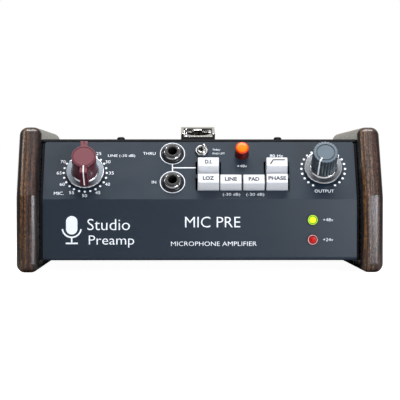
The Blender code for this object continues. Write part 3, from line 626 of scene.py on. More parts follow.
def make_cover_screws():
    for end in ("left_front", "left_rear", "right_front", "right_rear"):
        node = "cover_screw_" + end
        low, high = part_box(node)
        head = turned([(0, low.z), (1.5 * MM, low.z), (1.5 * MM, high.z - 1.95 * MM),
                       (2.85 * MM, high.z - 1.95 * MM),
                       *arc((1.45 * MM, high.z - 1.7 * MM), 1.4 * MM, 0, 78, 6), (0, high.z)], 40)
        hexagon = hexagon_points(1.15 * MM)
        socket = lofted([at_height(hexagon, high.z - 1.2 * MM), at_height(hexagon, high.z + MM)])
        middle = (low + high) / 2
        piece(node + "_head", boolean(head, socket), Matrix.Translation((middle.x, middle.y, 0)), OXIDE, ROOT,
              [node])


# ---------------------------------------------------------------- knobs

def skirt(name, place, box, body, material):
    """Spun skirt: a polished rim, a shallow satin dish and a polished bevel round the knob's seat."""
    radius = (box[1].x - box[0].x) / 2
    low, high = box[0].z, box[1].z
    seat = 9.9 * MM
    profile = [(7.6 * MM, low + 0.6 * MM), (11.6 * MM, low + 0.2 * MM), (radius - 0.4 * MM, low),
               (radius, low + 0.3 * MM), (radius, low + 0.8 * MM), (radius - 0.3 * MM, low + 1.15 * MM),
               (radius - 0.75 * MM, low + 1.25 * MM), (radius - 1.2 * MM, low + 1.2 * MM),
               (seat, high - 0.75 * MM), (seat - 0.45 * MM, high - 0.2 * MM), (seat - 0.75 * MM, high),
               (7.6 * MM, high)]
    disc = piece(name + "_spun", turned(profile, 96), place, material, body, [name], smooth=30)

    def shiny(centre, normal):
        reach = hypot(centre.x, centre.y)
        return reach > radius - 0.7 * MM or (seat - 0.8 * MM < reach < seat and centre.z > high - 0.8 * MM)

    paint_faces(disc, POLISHED, shiny)


def pointer(name, points, width, place, body, material=None):
    """Printed line: a flat strip along (up, out) points in the knob's frame, widened across X."""
    half, lift = width / 2, PRINT_DEPTH
    outlines = []
    for along, out in points:
        outlines.append([(-half, along, out), (half, along, out), (half, along, out + lift),
                         (-half, along, out + lift)])
    piece(name, lofted(outlines), place, material or INK, body, smooth=0)


def make_gain_knob():
    place, box = centre_on("gain_skirt")
    skirt("gain_skirt", place, box, "gain_dial", SATIN_SKIRT)
    low, high = local_box("gain_knob", place)
    base, top = low.z, high.z
    reach = (high.y - low.y) / 2
    radius = (high.x - low.x) / 2
    body = turned([(0, base), (radius + 0.5 * MM, base), (radius, base + 3 * MM), (radius, top - 0.3 * MM),
                   *arc((radius - 0.25 * MM, top - 0.25 * MM), 0.25 * MM, 10, 90, 4), (0, top)], 96)
    half = 2.65 * MM
    levels = [(base, half + 0.5 * MM, reach), (base + 2 * MM, half + 0.3 * MM, reach),
              (top - MM, half, reach), (top - 0.6 * MM, half - 0.12 * MM, reach - 0.12 * MM),
              (top - 0.45 * MM, half - 0.4 * MM, reach - 0.35 * MM)]
    bar = lofted([at_height(rounded_rectangle(2 * wide, 2 * long, 0.6 * MM, 4), level) for level, wide,
                  long in levels])
    shape = boolean(body, bar, "UNION")
    slit = lofted(slab(0.6 * MM, 3.6 * MM, top - 6 * MM, top + MM, 0.1 * MM, y=reach - 1.5 * MM))
    shape = boolean(shape, slit)
    groove = turned([(7.35 * MM, top - 0.6 * MM), (7.8 * MM, top - 0.6 * MM), (7.8 * MM, top + MM),
                     (7.35 * MM, top + MM)], 96)
    shape = boolean(shape, groove)
    knob = piece("gain_knob_moulding", shape, place, MAROON, "gain_dial", ["gain_knob"],
                 smooth=32)

    # The faces chosen here take the lighter maroon as a painted sheen on the knob's top.
    def upper(centre, normal):
        in_groove = 7.3 * MM < hypot(centre.x, centre.y) < 7.85 * MM and centre.z < top - 0.3 * MM
        return normal.z > 0.8 and centre.z > top - 0.9 * MM and not in_groove

    paint_faces(knob, PAINTED_SHEEN_MAROON, upper)
    front = -reach - PRINT_DEPTH
    line = [(-radius + 1.2 * MM, top), (-radius - 0.1 * MM, top - 0.05 * MM),
            (-reach + 0.3 * MM, top - 0.4 * MM)]
    pointer("gain_pointer_top", line, 0.9 * MM, place, "gain_dial")
    strip = lofted([[(-0.4 * MM, front, z), (0.4 * MM, front, z), (0.4 * MM, front + 0.3 * MM, z),
                     (-0.4 * MM, front + 0.3 * MM, z)] for z in (base + 0.4 * MM, top - 0.55 * MM)])
    piece("gain_pointer_front", strip, place, INK, "gain_dial", smooth=0)


def paint_faces(obj, material, chosen):
    """Second material on the faces that a test of (centre, normal) chooses."""
    obj.data.materials.append(material)
    for face in obj.data.polygons:
        if chosen(face.center, face.normal):
            face.material_index = 1


def make_output_knob():
    place, box = centre_on("output_skirt")
    skirt("output_skirt", place, box, "output_dial", SPUN)
    low, high = local_box("output_knob", place)
    base, top = low.z, high.z
    radius = 8.95 * MM
    flutes = 24
    steps = flutes * 10

    def ring(reach, height, depth):
        """Outline of convex lobes that meet in narrow valleys."""
        turns = [2 * pi * i / steps for i in range(steps)]
        lengths = [reach - depth * (1 - abs(cos(flutes / 2 * turn)) ** 0.8) for turn in turns]
        return [(length * cos(turn), length * sin(turn), height) for turn, length in zip(turns, lengths)]

    flute = 0.85 * MM
    outlines = [ring(radius, base, flute), ring(radius + 0.1 * MM, base + 0.6 * MM, flute),
                ring(radius, top - 0.5 * MM, flute), ring(radius - 0.1 * MM, top - 0.15 * MM, flute * 0.9),
                ring(radius - 0.35 * MM, top - 0.02 * MM, flute * 0.75)]
    outlines += [ring(reach, height, 0) for reach, height in (
        (6.65 * MM, top - 0.02 * MM), (6.6 * MM, top - 0.5 * MM), (5.95 * MM, top - 0.5 * MM),
        (5.9 * MM, top))]
    knob = piece("output_knob_moulding", lofted(outlines), place, GREY, "output_dial",
                 ["output_knob"],
                 smooth=40)
    # Upward faces of the top take the lighter grey as a painted sheen.
    paint_faces(knob, PAINTED_SHEEN_GREY, lambda centre, normal: normal.z > 0.9 and centre.z > top - 0.3 * MM)
    turn = place @ Matrix.Rotation(OUTPUT_REST, 4, "Z")
    line = [(-5.2 * MM, top), (-radius + 0.3 * MM, top - 0.02 * MM)]
    pointer("output_pointer_top", line, 0.9 * MM, turn, "output_dial")
    side = [(-radius + 0.3 * MM, top - 0.05 * MM), (-radius - 0.02 * MM, top - 0.5 * MM),
            (-radius - 0.16 * MM, base + 0.5 * MM)]
    strip = lofted([[(-0.45 * MM, y, z), (0.45 * MM, y, z), (0.45 * MM, y + 0.5 * MM, z),
                     (-0.45 * MM, y + 0.5 * MM, z)]
                    for y, z in side])
    piece("output_pointer_side", strip, turn, INK, "output_dial", smooth=0)


# ---------------------------------------------------------------- keys and buttons

KEY_LABELS = {"di": ("D.I.", 4.9 * MM), "loz": ("LOZ", 7.9 * MM), "line": ("LINE", 8.6 * MM),
              "pad": ("PAD", 7.6 * MM),
              "phase": ("PHASE", 12.6 * MM), "lowcut": (None, 0)}
KEY_HEIGHT = 7.5 * MM
WINDOW_SIDE = 1.4 * MM
WINDOW_END = 0.6 * MM
HOLES = (
    ("gain_nut", 4.9 * MM, True), ("output_nut", 4.9 * MM, True), ("thru_jack_nut", 5.2 * MM, True),
    ("in_jack_nut", 5.2 * MM, True), ("toggle_nut", 3.3 * MM, True), ("phantom_cap", 5.1 * MM, True),
    ("green_lamp_bezel", 3.9 * MM, False), ("red_lamp_bezel", 3.9 * MM, False),
)


def make_key(name):
    """Keycap with a sloping front, lightly tapered sides and a rounded rim, and its label."""
    node = name + "_key"
    body = name + "_button"
    place, (low, high) = centre_on(node)
    width, length = high.x - low.x, high.y - low.y
    top = high.z
    panel = top - KEY_HEIGHT

    def outline(level, side, front, back, corner):
        depth = length - front - back
        ring = rounded_rectangle(width - 2 * side, depth, corner, 6, 0, (front - back) / 2)
        return at_height(ring, level)

    outlines = [outline(panel - 4.5 * MM, 0.05 * MM, 0.05 * MM, 0.05 * MM, 0.4 * MM),
                outline(panel, 0, 0, 0, 0.4 * MM)]
    rim = 0.45 * MM
    for k in range(6):
        turn = pi / 2 * k / 5
        cut = rim * (1 - cos(turn))
        outlines.append(outline(top - rim * (1 - sin(turn)), 0.2 * MM + cut, 1.55 * MM + cut, 0.1 * MM + cut,
                                0.5 * MM))
    outlines.append(outline(top - 0.03 * MM, 1.2 * MM, 2.5 * MM, 1.1 * MM, 0.3 * MM))
    piece(name + "_keycap", lofted(outlines), place, WHITE, body, [node])
    text, wide = KEY_LABELS[name]
    face = place @ Matrix.Translation((0, 0.75 * MM, top))
    if text:
        lettering(name + "_key_label", text, face, (0, 0), wide, 3.1 * MM, body, DARK_INK,
                  0.03)
    else:
        stroke = [mm(-4.6, -1.7), mm(-2.7, 1.6), mm(5.4, 1.6)]
        mesh = joined([ribbon(a, b, 0.85 * MM) for a, b in zip(stroke, stroke[1:])])
        piece("lowcut_key_symbol", mesh, face, DARK_INK, body, smooth=0)


def printed(outline):
    """Flat print in the shape of an outline."""
    return lofted([at_height(outline, PRINT_LIFT), at_height(outline, PRINT_LIFT + PRINT_DEPTH)])


def ribbon(start, end, width):
    """Flat printed line between two (x, y) points, with its ends squared off a little past them."""
    along = (Vector(end) - Vector(start)).normalized()
    across = Vector((-along.y, along.x)) * width / 2
    begin, finish = Vector(start) - along * width / 4, Vector(end) + along * width / 4
    return printed([begin - across, finish - across, finish + across, begin + across])


def make_phantom():
    place, (low, high) = centre_on("phantom_cap")
    radius = (high.x - low.x) / 2
    top = high.z
    cap = [mm(0, -2.6), (radius, -2.6 * MM), (radius, top - MM), *arc((radius - MM, top - MM), MM, 0, 80),
           (3.75 * MM, top), (3.75 * MM, top - MM), (0, top - MM)]
    knob = piece("phantom_cap_moulding", turned(cap), place, RED, "phantom_button",
                 ["phantom_cap"])
    paint_faces(knob, GLOW, lambda centre, normal: centre.z > top - 1.05 * MM)
    crown = local_box("phantom_lens", place)[1].z
    lens = [(0, top - 0.7 * MM), (3.7 * MM, top - 0.7 * MM), (3.7 * MM, top),
            (3.4 * MM, top + 0.2 * MM), (2 * MM, crown - 0.12 * MM), (0, crown)]
    piece("phantom_lens_lit", turned(lens), place, ORANGE_LENS, "phantom_button",
          ["phantom_lens"])
    collar = [mm(4.8, -0.3), mm(5.05, -0.3), mm(5.15, 0.1), mm(5, 0.25), mm(4.8, 0.1)]
    piece("phantom_collar", turned(collar), place, BLACK, ROOT)


def make_toggle():
    place, box = centre_on("toggle_nut")
    top = box[1].z
    outer = 4.65 * MM
    hexagon = hexagon_points(outer)
    nut = lofted([at_height(hexagon, 0.3 * MM), at_height(hexagon, top)])
    dome = turned([(0, 0), (outer, 0), (outer, top - 0.6 * MM), (outer - 0.6 * MM, top), (0, top)], 48)
    nut = boolean(nut, dome, "INTERSECT")
    nut = boolean(nut, turned([mm(0, -1), mm(3.5, -1), mm(3.5, 5), mm(0, 5)], 48))
    piece("toggle_nut_plated", nut, place, SATIN_NICKEL, ROOT, ["toggle_nut"], smooth=25)
    # Gloss black ring sunk in the gap between nut and bush: painted shade in the gap.
    gap = [mm(2.9, 0.2), mm(3.45, 0.2), (3.45 * MM, top - 0.5 * MM), (2.9 * MM, top - 0.5 * MM)]
    piece("toggle_gap_painted_shade", turned(gap, 48), place, GLOSS_BLACK, ROOT)
    bush = [mm(2.2, -2.5), mm(2.95, -2.5)]
    for k in range(6):
        level = top + 0.15 * MM + 0.22 * MM * k
        bush += [(2.95 * MM, level), (2.8 * MM, level + 0.11 * MM)]
    bush += [mm(2.75, 3.5), mm(2.2, 3.4)]
    piece("toggle_bush_plated", turned(bush, 48), place, NICKEL, ROOT)
    pivot = Vector(joint("toggle_flip")["pos_m"])
    tilt = Matrix.Translation(pivot) @ UPPER.to_3x3().to_4x4() @ Matrix.Rotation(TOGGLE_LEAN, 4, "Y")
    tip = local_box("toggle_lever", tilt)[1].z
    bat = [mm(0, -1.6), mm(0.9, -1.4), mm(0.9, 2), mm(0.95, 3), (1.35 * MM, tip - 1.6 * MM),
           *arc((0, tip - 1.35 * MM), 1.35 * MM, 8, 90, 8)[:-1], (0, tip)]
    # The bat is darker chrome with a bright nickel tip: painted shade on its lower part and a painted
    # highlight on the tip.
    lever = piece("toggle_bat", turned(bat, 40), tilt, DARK_CHROME, "ground_toggle",
                  ["toggle_lever"])
    paint_faces(lever, NICKEL, lambda centre, normal: centre.z > 3 * MM)


def joint(name):
    return next(found for found in frame["joints"] if found["name"] == name)


def make_jack(name):
    """Jack: black ring nut, a domed dark-chrome ferrule and a thin bright rim round the black hole."""
    place, box = centre_on(name + "_jack_nut")
    top = box[1].z
    nut = [mm(6.1, 0.05), mm(7.85, 0.05), mm(7.85, 0.8), mm(7.5, 1.3),
           mm(6.8, 1.6), mm(6.1, 1.5)]
    piece(name + "_jack_ring_nut", turned(nut), place, GLOSS_BLACK, ROOT)
    dome = [mm(4.3, 0.3), mm(6.4, 0.3), mm(6.4, 1.4), *arc(mm(4.7, 1.3), 1.7 * MM, 10, 78, 8),
            (4.3 * MM, top)]
    piece(name + "_jack_ferrule", turned(dome), place, DARK_CHROME, ROOT, [name + "_jack_nut"])
    rim = [mm(3.45, -2), mm(4.35, -2), (4.35 * MM, top + 0.3 * MM),
           *arc((3.9 * MM, top + 0.35 * MM), 0.42 * MM, 0, 180, 8)]
    piece(name + "_jack_bush_plated", turned(rim), place, NICKEL, ROOT)
    sleeve = [mm(3.2, -8), mm(3.44, -8), (3.44 * MM, top + 0.2 * MM), (3.2 * MM, top)]
    piece(name + "_jack_sleeve", turned(sleeve), place, BLACK, ROOT)
    well = [mm(0, -9), mm(3.3, -9), mm(3.3, -8.2), mm(0, -8.2)]
    piece(name + "_jack_well", turned(well, 32), place, BLACK, ROOT)


def make_lamp(name, material, rim_glow_and_painted_highlight, well_painted_shade):
    """Lamp: black bezel, a thin translucent rim that glows with a pale painted highlight, a well of painted
    shade round the dome, and a lit dome.
    """
    place, _ = centre_on(name + "_lamp_bezel", on_lower(0, 0))
    bezel = [mm(3.45, -3), mm(3.7, -3), mm(3.7, 0.05), mm(4, 0.05), mm(4, 0.6),
             *arc(mm(3.7, 0.7), 0.3 * MM, 0, 90, 4), mm(3.45, 0.9)]
    piece(name + "_lamp_bezel_ring", turned(bezel), place, BLACK, ROOT,
          [name + "_lamp_bezel"])
    top = local_box(name + "_lamp_lens", place)[1].z
    lens = [mm(0, -2), mm(2.3, -2), mm(2.3, 0.7), mm(2.2, 0.85)]
    lens += arc(mm(0, 0.45), top - 0.45 * MM, 15, 90, 8)[:-1] + [(0, top)]
    piece(name + "_lamp_lens_lit", turned(lens, 48), place, material, ROOT, [name + "_lamp_lens"])
    rim = [mm(2.95, -2), mm(3.44, -2), mm(3.44, 0.9), mm(3.25, 1.1), mm(2.95, 0.8)]
    # Rim: lamp glow with a pale painted highlight.
    piece(name + "_lamp_rim", turned(rim, 48), place, rim_glow_and_painted_highlight, ROOT)
    well = [mm(2.31, -2), mm(2.94, -2), mm(2.94, 0.45), mm(2.31, 0.3)]
    # Well: painted shade in the groove between rim and dome.
    piece(name + "_lamp_well", turned(well, 48), place, well_painted_shade, ROOT)


# ---------------------------------------------------------------- connectors

def connector(name, place, size, bore, material, floor, node, pins):
    """Rear connector: a flange with two screws, a round mouth, a barrel, an insert and its contacts."""
    width, height, rim = *size, 2 * MM
    plate = lofted(slab(width, height, 0, rim, 2.2 * MM, 0.4 * MM))
    hole = turned([mm(0, -20), (bore, -20 * MM), (bore, rim - 0.8 * MM), (bore + 0.8 * MM, rim + 0.05 * MM),
                   (bore + 0.8 * MM, rim + 5 * MM), (0, rim + 5 * MM)], 64)
    plate = boolean(plate, hole)
    barrel = turned([(bore - BARREL_LAP, floor), (bore + BARREL_WALL, floor), (bore + BARREL_WALL, 0.1 * MM),
                     (bore - BARREL_LAP, 0.1 * MM)], 64)
    piece(name + "_plate", joined([plate, barrel]), place, material, ROOT, [node])
    insert_contacts(name, place, bore, floor, pins, NICKEL)
    reach, rise = width / 2 - 3.2 * MM, height / 2 - 3.2 * MM
    piece(name + "_screws", joined([cross_head(-reach, rise, rim), cross_head(reach, -rise, rim)]), place,
          OXIDE, ROOT)


def make_top_socket():
    """Tilted socket: a tray rimmed on three sides, a keyed bore, a latch, screws and contacts."""
    slope = Matrix.Rotation(SOCKET_SLOPE, 4, "X")
    low, high = local_box("top_socket_shell", slope)
    width, length = high.x - low.x, high.y - low.y
    rim_top = high.z
    origin = slope @ Vector(((low.x + high.x) / 2, (low.y + high.y) / 2, rim_top - 4.5 * MM))
    place = Matrix.Translation(origin) @ slope
    floor, rear, bore = 2 * MM, 6 * MM, 8.8 * MM
    tray = lofted(slab(width, length, 0, 4.5 * MM, 1.2 * MM, 0.4 * MM))
    room = lofted(slab(width - 4 * MM, length, floor, 9 * MM, 0.8 * MM, y=-rear))
    tray = boolean(tray, room)
    hole = turned([mm(0, -20), (bore, -20 * MM), (bore, floor - 0.5 * MM),
                   (bore + 0.5 * MM, floor + 0.05 * MM),
                   (bore + 0.5 * MM, floor + 0.4 * MM), (0, floor + 0.4 * MM)], 64)
    tray = boolean(tray, hole)
    barrel = turned([(bore - BARREL_LAP, -15.9 * MM), (bore + BARREL_WALL, -15.9 * MM),
                     (bore + BARREL_WALL, 0.1 * MM),
                     (bore - BARREL_LAP, 0.1 * MM)], 64)
    key = lofted(slab(2.4 * MM, 1.6 * MM, -15.8 * MM, floor - 0.6 * MM, 0.3 * MM, y=-bore + 0.5 * MM))
    piece("top_socket_tray", joined([bevelled(tray, 0.2 * MM, 2, 50), barrel, key]), place, NICKEL, ROOT,
          ["top_socket_shell", "top_socket_insert"])
    insert_contacts("top_socket", place, bore, -15.9 * MM, 3, DARK_CHROME)
    latch = lofted(slab(7.4 * MM, 3.4 * MM, floor + 0.3 * MM, floor + 2.2 * MM, 0.8 * MM, 0.5 * MM,
                        y=7.6 * MM))
    slot = lofted(slab(3.6 * MM, MM, floor - MM, floor + 1.1 * MM, 0.3 * MM, y=5.9 * MM))
    piece("top_socket_latch", boolean(latch, slot), place, DARK_CHROME, ROOT)
    heads = [cross_head(-9.2 * MM, -11.2 * MM, floor), cross_head(9.2 * MM, 5.6 * MM, floor)]
    piece("top_socket_screws", joined(heads), place, STEEL, ROOT)


def insert_contacts(name, place, bore, floor, pins, material):
    """Moulded insert at the foot of a connector's bore, with its round contacts."""
    insert = turned([(0, floor + 0.1 * MM), (bore - 0.1 * MM, floor + 0.1 * MM),
                     (bore - 0.1 * MM, floor + 2.4 * MM),
                     (bore - 0.6 * MM, floor + 2.7 * MM), (0, floor + 2.7 * MM)], 48)
    piece(name + "_insert", insert, place, BLACK, ROOT)
    stems = []
    for k in range(pins):
        angle = 2 * pi * k / pins + pi / 2
        spot = Matrix.Translation((0.48 * bore * cos(angle), 0.48 * bore * sin(angle), 0))
        stems.append((turned([(0, floor + 2 * MM), (1.2 * MM, floor + 2 * MM), mm(1.2, -3),
                              mm(0.9, -2.4), mm(0, -2.1)], 24), spot))
    piece(name + "_pins", joined(stems), place, material, ROOT)


def cross_head(x, y, level):
    """Pan-head screw with a cross recess, and the matrix that places it."""
    head = turned([mm(0, -0.4), mm(2.1, -0.4), mm(2.1, 0.1), mm(1.5, 0.6), mm(0, 0.75)], 32)
    for size in (mm(0.5, 2.2), mm(2.2, 0.5)):
        head = boolean(head, lofted(slab(*size, 0.3 * MM, 2 * MM, 0.1 * MM)))
    return head, Matrix.Translation((x, y, level))


def make_rear_sockets():
    fittings = (
        ("rear_output", "rear_output_socket", 9 * MM, NICKEL, "nickel", -15.9 * MM, 3),
        ("power_inlet", "power_inlet", 6.5 * MM, BLACK, "black_plastic", -13.9 * MM, 4),
    )
    for name, node, bore, material, slot, floor, pins in fittings:
        place, (low, high) = centre_on(node, on_back(0, 0))
        raised = place @ Matrix.Translation((0, 0, 0.3 * MM))
        connector(name, raised, (high.x - low.x, high.y - low.y), bore, material, floor, node, pins)


# ---------------------------------------------------------------- print

def lettering(name, text, place, middle, width, height, body, material=None,
              weight=-0.006):
    """Printed words: stretched to a width and capital height, centred on a point of the face."""
    curve = bpy.data.curves.new(name, "FONT")
    curve.body = text
    curve.extrude = PRINT_DEPTH / 2
    curve.resolution_u = 3
    curve.offset = weight
    source = bpy.data.objects.new(name, curve)
    bpy.context.scene.collection.objects.link(source)
    mesh = settled(source)
    xs = [vertex.co.x for vertex in mesh.vertices]
    ys = [vertex.co.y for vertex in mesh.vertices]
    scale_x = width / (max(xs) - min(xs))
    scale_y = height / (max(ys) - min(ys))
    centre = Vector(((max(xs) + min(xs)) / 2 * scale_x, (max(ys) + min(ys)) / 2 * scale_y, 0))
    shift = Matrix.Translation(Vector((*middle, PRINT_LIFT + PRINT_DEPTH / 2)) - centre)
    mesh.transform(shift @ Matrix.Diagonal((scale_x, scale_y, 1, 1)))
    mesh.materials.clear()
    piece(name, mesh, place, material or INK, body, smooth=0)


def disc(x, y, radius, segments=20):
    return printed(round_points(radius, segments, x, y))


def printed_ring(outer, inner):
    return turned([(inner, PRINT_LIFT), (outer, PRINT_LIFT), (outer, PRINT_LIFT + PRINT_DEPTH),
                   (inner, PRINT_LIFT + PRINT_DEPTH)], 96)


def print_gain_dial():
    place, _ = centre_on("gain_skirt")
    ring = 15.3 * MM
    dots = []
    for step in range(-8, 11):
        angle = radians(DOT_PITCH * step - 90)
        dots.append(disc(ring * cos(angle), ring * sin(angle), 0.8 * MM))
    piece("gain_dial_dots", joined(dots), place, INK, ROOT, smooth=0)
    for k, number in enumerate(range(70, 20, -5)):
        angle = radians(2 * DOT_PITCH * (k - 4) - 90)
        middle = (18.5 * MM * cos(angle), 18.5 * MM * sin(angle))
        lettering(f"gain_number_{number}", str(number), place, middle, 3.5 * MM, 2.45 * MM, ROOT)
    lettering("gain_label_mic", "MIC.", place, mm(-18.2, -16.6), 7 * MM, 2.5 * MM, ROOT)
    lettering("gain_label_line", "LINE (-30 dB)", place, mm(25.6, 14), 19.3 * MM, 2.7 * MM, ROOT)


def print_output_dial():
    place, _ = centre_on("output_skirt")
    ring = 15.6 * MM
    dots = []
    for step in range(21):
        angle = radians(DOT_PITCH * step - 60)
        dots.append(disc(ring * cos(angle), ring * sin(angle), 0.85 * MM))
    piece("output_dial_dots", joined(dots), place, INK, ROOT, smooth=0)
    lettering("output_label", "OUTPUT", place, mm(0, -18.2), 13.6 * MM, 2.4 * MM, ROOT)


def print_upper_labels():
    rings = []
    spots = {}
    for name in ("thru", "in"):
        place, _ = centre_on(name + "_jack_nut")
        flat = UPPER.inverted() @ place
        spots[name] = flat.translation
        rings.append((printed_ring(8.95 * MM, 8.45 * MM), flat))
    x = spots["in"].x
    middle = (spots["in"].y + spots["thru"].y) / 2
    rings.append(ribbon((x, spots["in"].y + 9 * MM), (x, spots["thru"].y - 9 * MM), 0.75 * MM))
    rings.append(ribbon((x, middle), (-3 * MM, middle), 0.75 * MM))
    piece("jack_rings", joined(rings), UPPER, INK, ROOT, smooth=0)
    flat = on_upper(LABEL_SHIFT, 0)
    words = (
        ("thru_label", "THRU", (-35.6, 37.5), 8.9, 2.2), ("in_label", "IN", (-32.1, 13.9), 3.0, 2.2),
        ("phantom_label", "+48v", (30.6, 27.1), 7.1, 2.1), ("lowcut_label", "80 Hz", (55.4, 35.6), 9.3, 2.1),
        ("line_label", "(-30 dB)", (22.7, 3.6), 12.2, 2.8), ("pad_label", "(-20 dB)", (39.5, 3.6), 12.6, 2.8),
        ("toggle_label_one", "THRU", (12.3, 40.6), 5.5, 1.4),
        ("toggle_label_two", "GND LIFT", (14.0, 37.5), 8.8, 1.4),
    )
    for name, text, (across, up), width, height in words:
        lettering(name, text, flat, (across * MM, up * MM), width * MM, height * MM, ROOT)


def print_lower_face():
    flat = on_lower(LABEL_SHIFT, 0.7 * MM)
    words = (
        ("green_lamp_label", "+48v", (90.9, 36.3), 7.2, 2.3),
        ("red_lamp_label", "+24v", (90.9, 22.3), 7.2, 2.3),
        ("main_label", "MIC PRE", (9.4, 34.7), 39, 7.6),
        ("caption_label", "MICROPHONE AMPLIFIER", (10.2, 19.4), 60.5, 3.1),
        ("left_label_one", "Studio", (-64.0, 33.0), 30, 8.0),
        ("left_label_two", "Preamp", (-62.0, 21.0), 32, 8.6),
    )
    for name, text, (across, up), width, height in words:
        lettering(name, text, flat, (across * MM, up * MM), width * MM, height * MM, ROOT)
    x, y = -90 * MM, 29 * MM
    capsule = printed(rounded_rectangle(8 * MM, 13 * MM, 3.9 * MM, 10, x, y + 3.5 * MM))
    cradle = arc((x, y + 1.6 * MM), 6.6 * MM, 190, 350, 16)
    strokes = [capsule] + [ribbon(a, b, 1.1 * MM) for a, b in zip(cradle, cradle[1:])]
    strokes.append(ribbon((x, y - 5 * MM), (x, y - 9 * MM), 1.1 * MM))
    strokes.append(ribbon((x - 4 * MM, y - 9.3 * MM), (x + 4 * MM, y - 9.3 * MM), 1.1 * MM))
    piece("microphone_mark", joined(strokes), flat, INK, ROOT, smooth=0)


def print_back():
    flat = on_back(0, 0)
    for name, text, node in (("rear_output_label", "LINE OUT", "rear_output_socket"),
                             ("power_label", "DC IN", "power_inlet")):
        low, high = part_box(node)
        above = Matrix.Translation(((low.x + high.x) / 2, flat.translation.y, high.z + 5 * MM))
        face = above @ Matrix.Rotation(pi, 4, "Z") @ Matrix.Rotation(pi / 2, 4, "X")
        lettering(name, text, face, (0, 0), 2.3 * MM * len(text), 3 * MM, ROOT)


# ---------------------------------------------------------------- carried-over CAD nodes

def finish_cad_nodes():
    finishes = {
        BLACK_PAINT: ("chassis_tray", "top_cover", "rear_panel"),
        BLACK: ("top_socket_wedge", "thru_jack_body", "in_jack_body", "phantom_switch", "di_switch",
                "lowcut_switch",
                "loz_switch", "line_switch", "pad_switch", "phase_switch", "reservoir_capacitor"),
        STEEL: ("gain_switch", "output_potentiometer", "gain_shaft", "output_shaft", "toggle_body",
                "output_transformer",
                "left_cheek_screw_front", "left_cheek_screw_rear", "right_cheek_screw_front",
                "right_cheek_screw_rear"),
        NICKEL: ("gain_nut", "output_nut", "input_transformer"),
        BOARD: ("main_board", "front_board"),
    }
    for material, nodes in finishes.items():
        for node in nodes:
            obj = frame["nodes"][node]
            obj.data.materials.clear()
            obj.data.materials.append(material)
            obj.modifiers.new("merged_corners", "WELD").merge_threshold = 0.01 * MM
            edges = obj.modifiers.new("eased_edges", "BEVEL")
            edges.width, edges.segments, edges.angle_limit = 0.2 * MM, 2, radians(50)
            obj.modifiers.new("flat_faces", "WEIGHTED_NORMAL")


# ---------------------------------------------------------------- studio

def make_floor():
    """Pale paper that stays evenly bright to the eye and throws only a little light back up."""
    shape = bmesh.new()
    corners = [shape.verts.new(point) for point in ((-6, -6, 0), (6, -6, 0), (6, 6, 0), (-6, 6, 0))]
    shape.faces.new(corners)
    mesh = to_mesh("floor", shape)
    paper = Nodes("studio_paper", (0.45, 0.45, 0.45), 0.9, Specular_IOR_Level=0.0)
    paper.color(paper.mix(paper.noise(3, 3, 0.5), (0.44, 0.44, 0.44), (0.46, 0.46, 0.46)))
    paper.shader.inputs["Emission Color"].default_value = (1, 1, 1, 1)
    seen = paper.add("LightPath").outputs["Is Camera Ray"]
    paper.link(paper.math("MULTIPLY", seen, PAPER_GLOW), paper.shader.inputs["Emission Strength"])
    mesh.materials.append(paper.material)
    floor = bpy.data.objects.new("floor", mesh)
    bpy.context.scene.collection.objects.link(floor)


def softbox(name, bearing, height, distance, size, radiance, color=(1, 1, 1)):
    """Area light aimed at the object, placed by degrees right of the camera's side and degrees of height."""
    turn, lift = radians(bearing), radians(height)
    target = Vector((0, -0.05, 0.05))
    offset = Vector((sin(turn) * cos(lift), -cos(turn) * cos(lift), sin(lift)))
    light = bpy.data.lights.new(name, "AREA")
    light.shape = "RECTANGLE"
    light.size, light.size_y = size
    light.energy = radiance * pi * size[0] * size[1]
    light.color = color
    obj = bpy.data.objects.new(name, light)
    bpy.context.scene.collection.objects.link(obj)
    obj.matrix_world = (Matrix.Translation(target + offset * distance)
                        @ (-offset).to_track_quat("-Z", "Y").to_matrix().to_4x4())


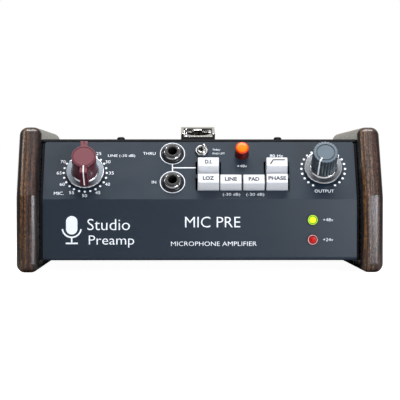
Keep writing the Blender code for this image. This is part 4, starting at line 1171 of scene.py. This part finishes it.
def make_studio():
    """White all round for the eye, a dim room for the light, and soft boxes for shape."""
    world = bpy.data.worlds.new("studio")
    bpy.context.scene.world = world
    world.use_nodes = True
    tree = world.node_tree
    background = tree.nodes["Background"]
    where = tree.nodes.new("ShaderNodeTexCoord").outputs["Generated"]
    split = tree.nodes.new("ShaderNodeSeparateXYZ")
    tree.links.new(where, split.inputs[0])
    ramp = tree.nodes.new("ShaderNodeValToRGB")
    stops = ((0.35, (0.03, 0.03, 0.035)), (0.6, (0.12, 0.12, 0.13)), (1.0, (0.4, 0.4, 0.42)))
    ramp.color_ramp.elements.new(0.5)
    for element, (position, color) in zip(ramp.color_ramp.elements, stops):
        element.position = position
        element.color = (*color, 1)
    height = tree.nodes.new("ShaderNodeMapRange")
    height.inputs["From Min"].default_value = -1
    tree.links.new(split.outputs["Z"], height.inputs["Value"])
    tree.links.new(height.outputs["Result"], ramp.inputs["Fac"])
    behind = tree.nodes.new("ShaderNodeMapRange")
    behind.inputs["From Min"].default_value = 0.68
    behind.inputs["From Max"].default_value = 0.82
    tree.links.new(split.outputs["Y"], behind.inputs["Value"])
    backed = tree.nodes.new("ShaderNodeMix")
    backed.data_type = "RGBA"
    tree.links.new(behind.outputs["Result"], backed.inputs[0])
    tree.links.new(ramp.outputs["Color"], backed.inputs[6])
    backed.inputs[7].default_value = (0.62, 0.61, 0.56, 1)
    mix = tree.nodes.new("ShaderNodeMix")
    mix.data_type = "RGBA"
    tree.links.new(tree.nodes.new("ShaderNodeLightPath").outputs["Is Camera Ray"], mix.inputs[0])
    tree.links.new(backed.outputs[2], mix.inputs[6])
    mix.inputs[7].default_value = (1, 1, 1, 1)
    tree.links.new(mix.outputs[2], background.inputs["Color"])
    bpy.context.scene.view_settings.view_transform = "Standard"
    softbox("overhead_box", 0, 86, 2.2, (1.8, 0.8), 13.0)
    softbox("upper_front_box", 14, 57, 2.0, (0.35, 0.3), 2.5)
    softbox("left_box", -80, 40, 1.0, (0.12, 0.16), 14.0)
    softbox("right_box", 62, 14, 0.8, (0.05, 0.4), 7.0)
    softbox("low_right_box", 29, 2, 0.9, (0.38, 0.17), 21.5, (0.88, 0.93, 1.0))


def make_camera():
    """Level with the base of the upper face, far away, with a long lens."""
    data = bpy.data.cameras.new("camera")
    data.sensor_width = SENSOR
    data.lens = SENSOR * (FOCAL_PIXELS / IMAGE_PIXELS)
    data.clip_end = 20
    camera = bpy.data.objects.new("camera", data)
    bpy.context.scene.collection.objects.link(camera)
    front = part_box("left_cheek")[0].y
    direction = Vector((24 / FOCAL_PIXELS, 1, -25 / FOCAL_PIXELS))
    place = Matrix.Translation((-16.9 * MM, front - CAMERA_DISTANCE, 68.6 * MM))
    camera.matrix_world = place @ direction.to_track_quat("-Z", "Y").to_matrix().to_4x4()
    bpy.context.scene.camera = camera


for cheek in ("left_cheek", "right_cheek"):
    make_cheek(cheek)
make_panel()
make_cover_screws()
make_gain_knob()
make_output_knob()
for key in KEY_LABELS:
    make_key(key)
make_phantom()
make_toggle()
for jack in ("thru", "in"):
    make_jack(jack)
make_lamp("green", GREEN_LENS, GREEN_RIM_GLOW_AND_PAINTED_HIGHLIGHT, GREEN_WELL_PAINTED_SHADE)
make_lamp("red", RED_LENS, RED_RIM_GLOW_AND_PAINTED_HIGHLIGHT, RED_WELL_PAINTED_SHADE)
make_top_socket()
make_rear_sockets()
print_gain_dial()
print_output_dial()
print_upper_labels()
print_lower_face()
print_back()
finish_cad_nodes()
make_floor()
make_studio()
make_camera()
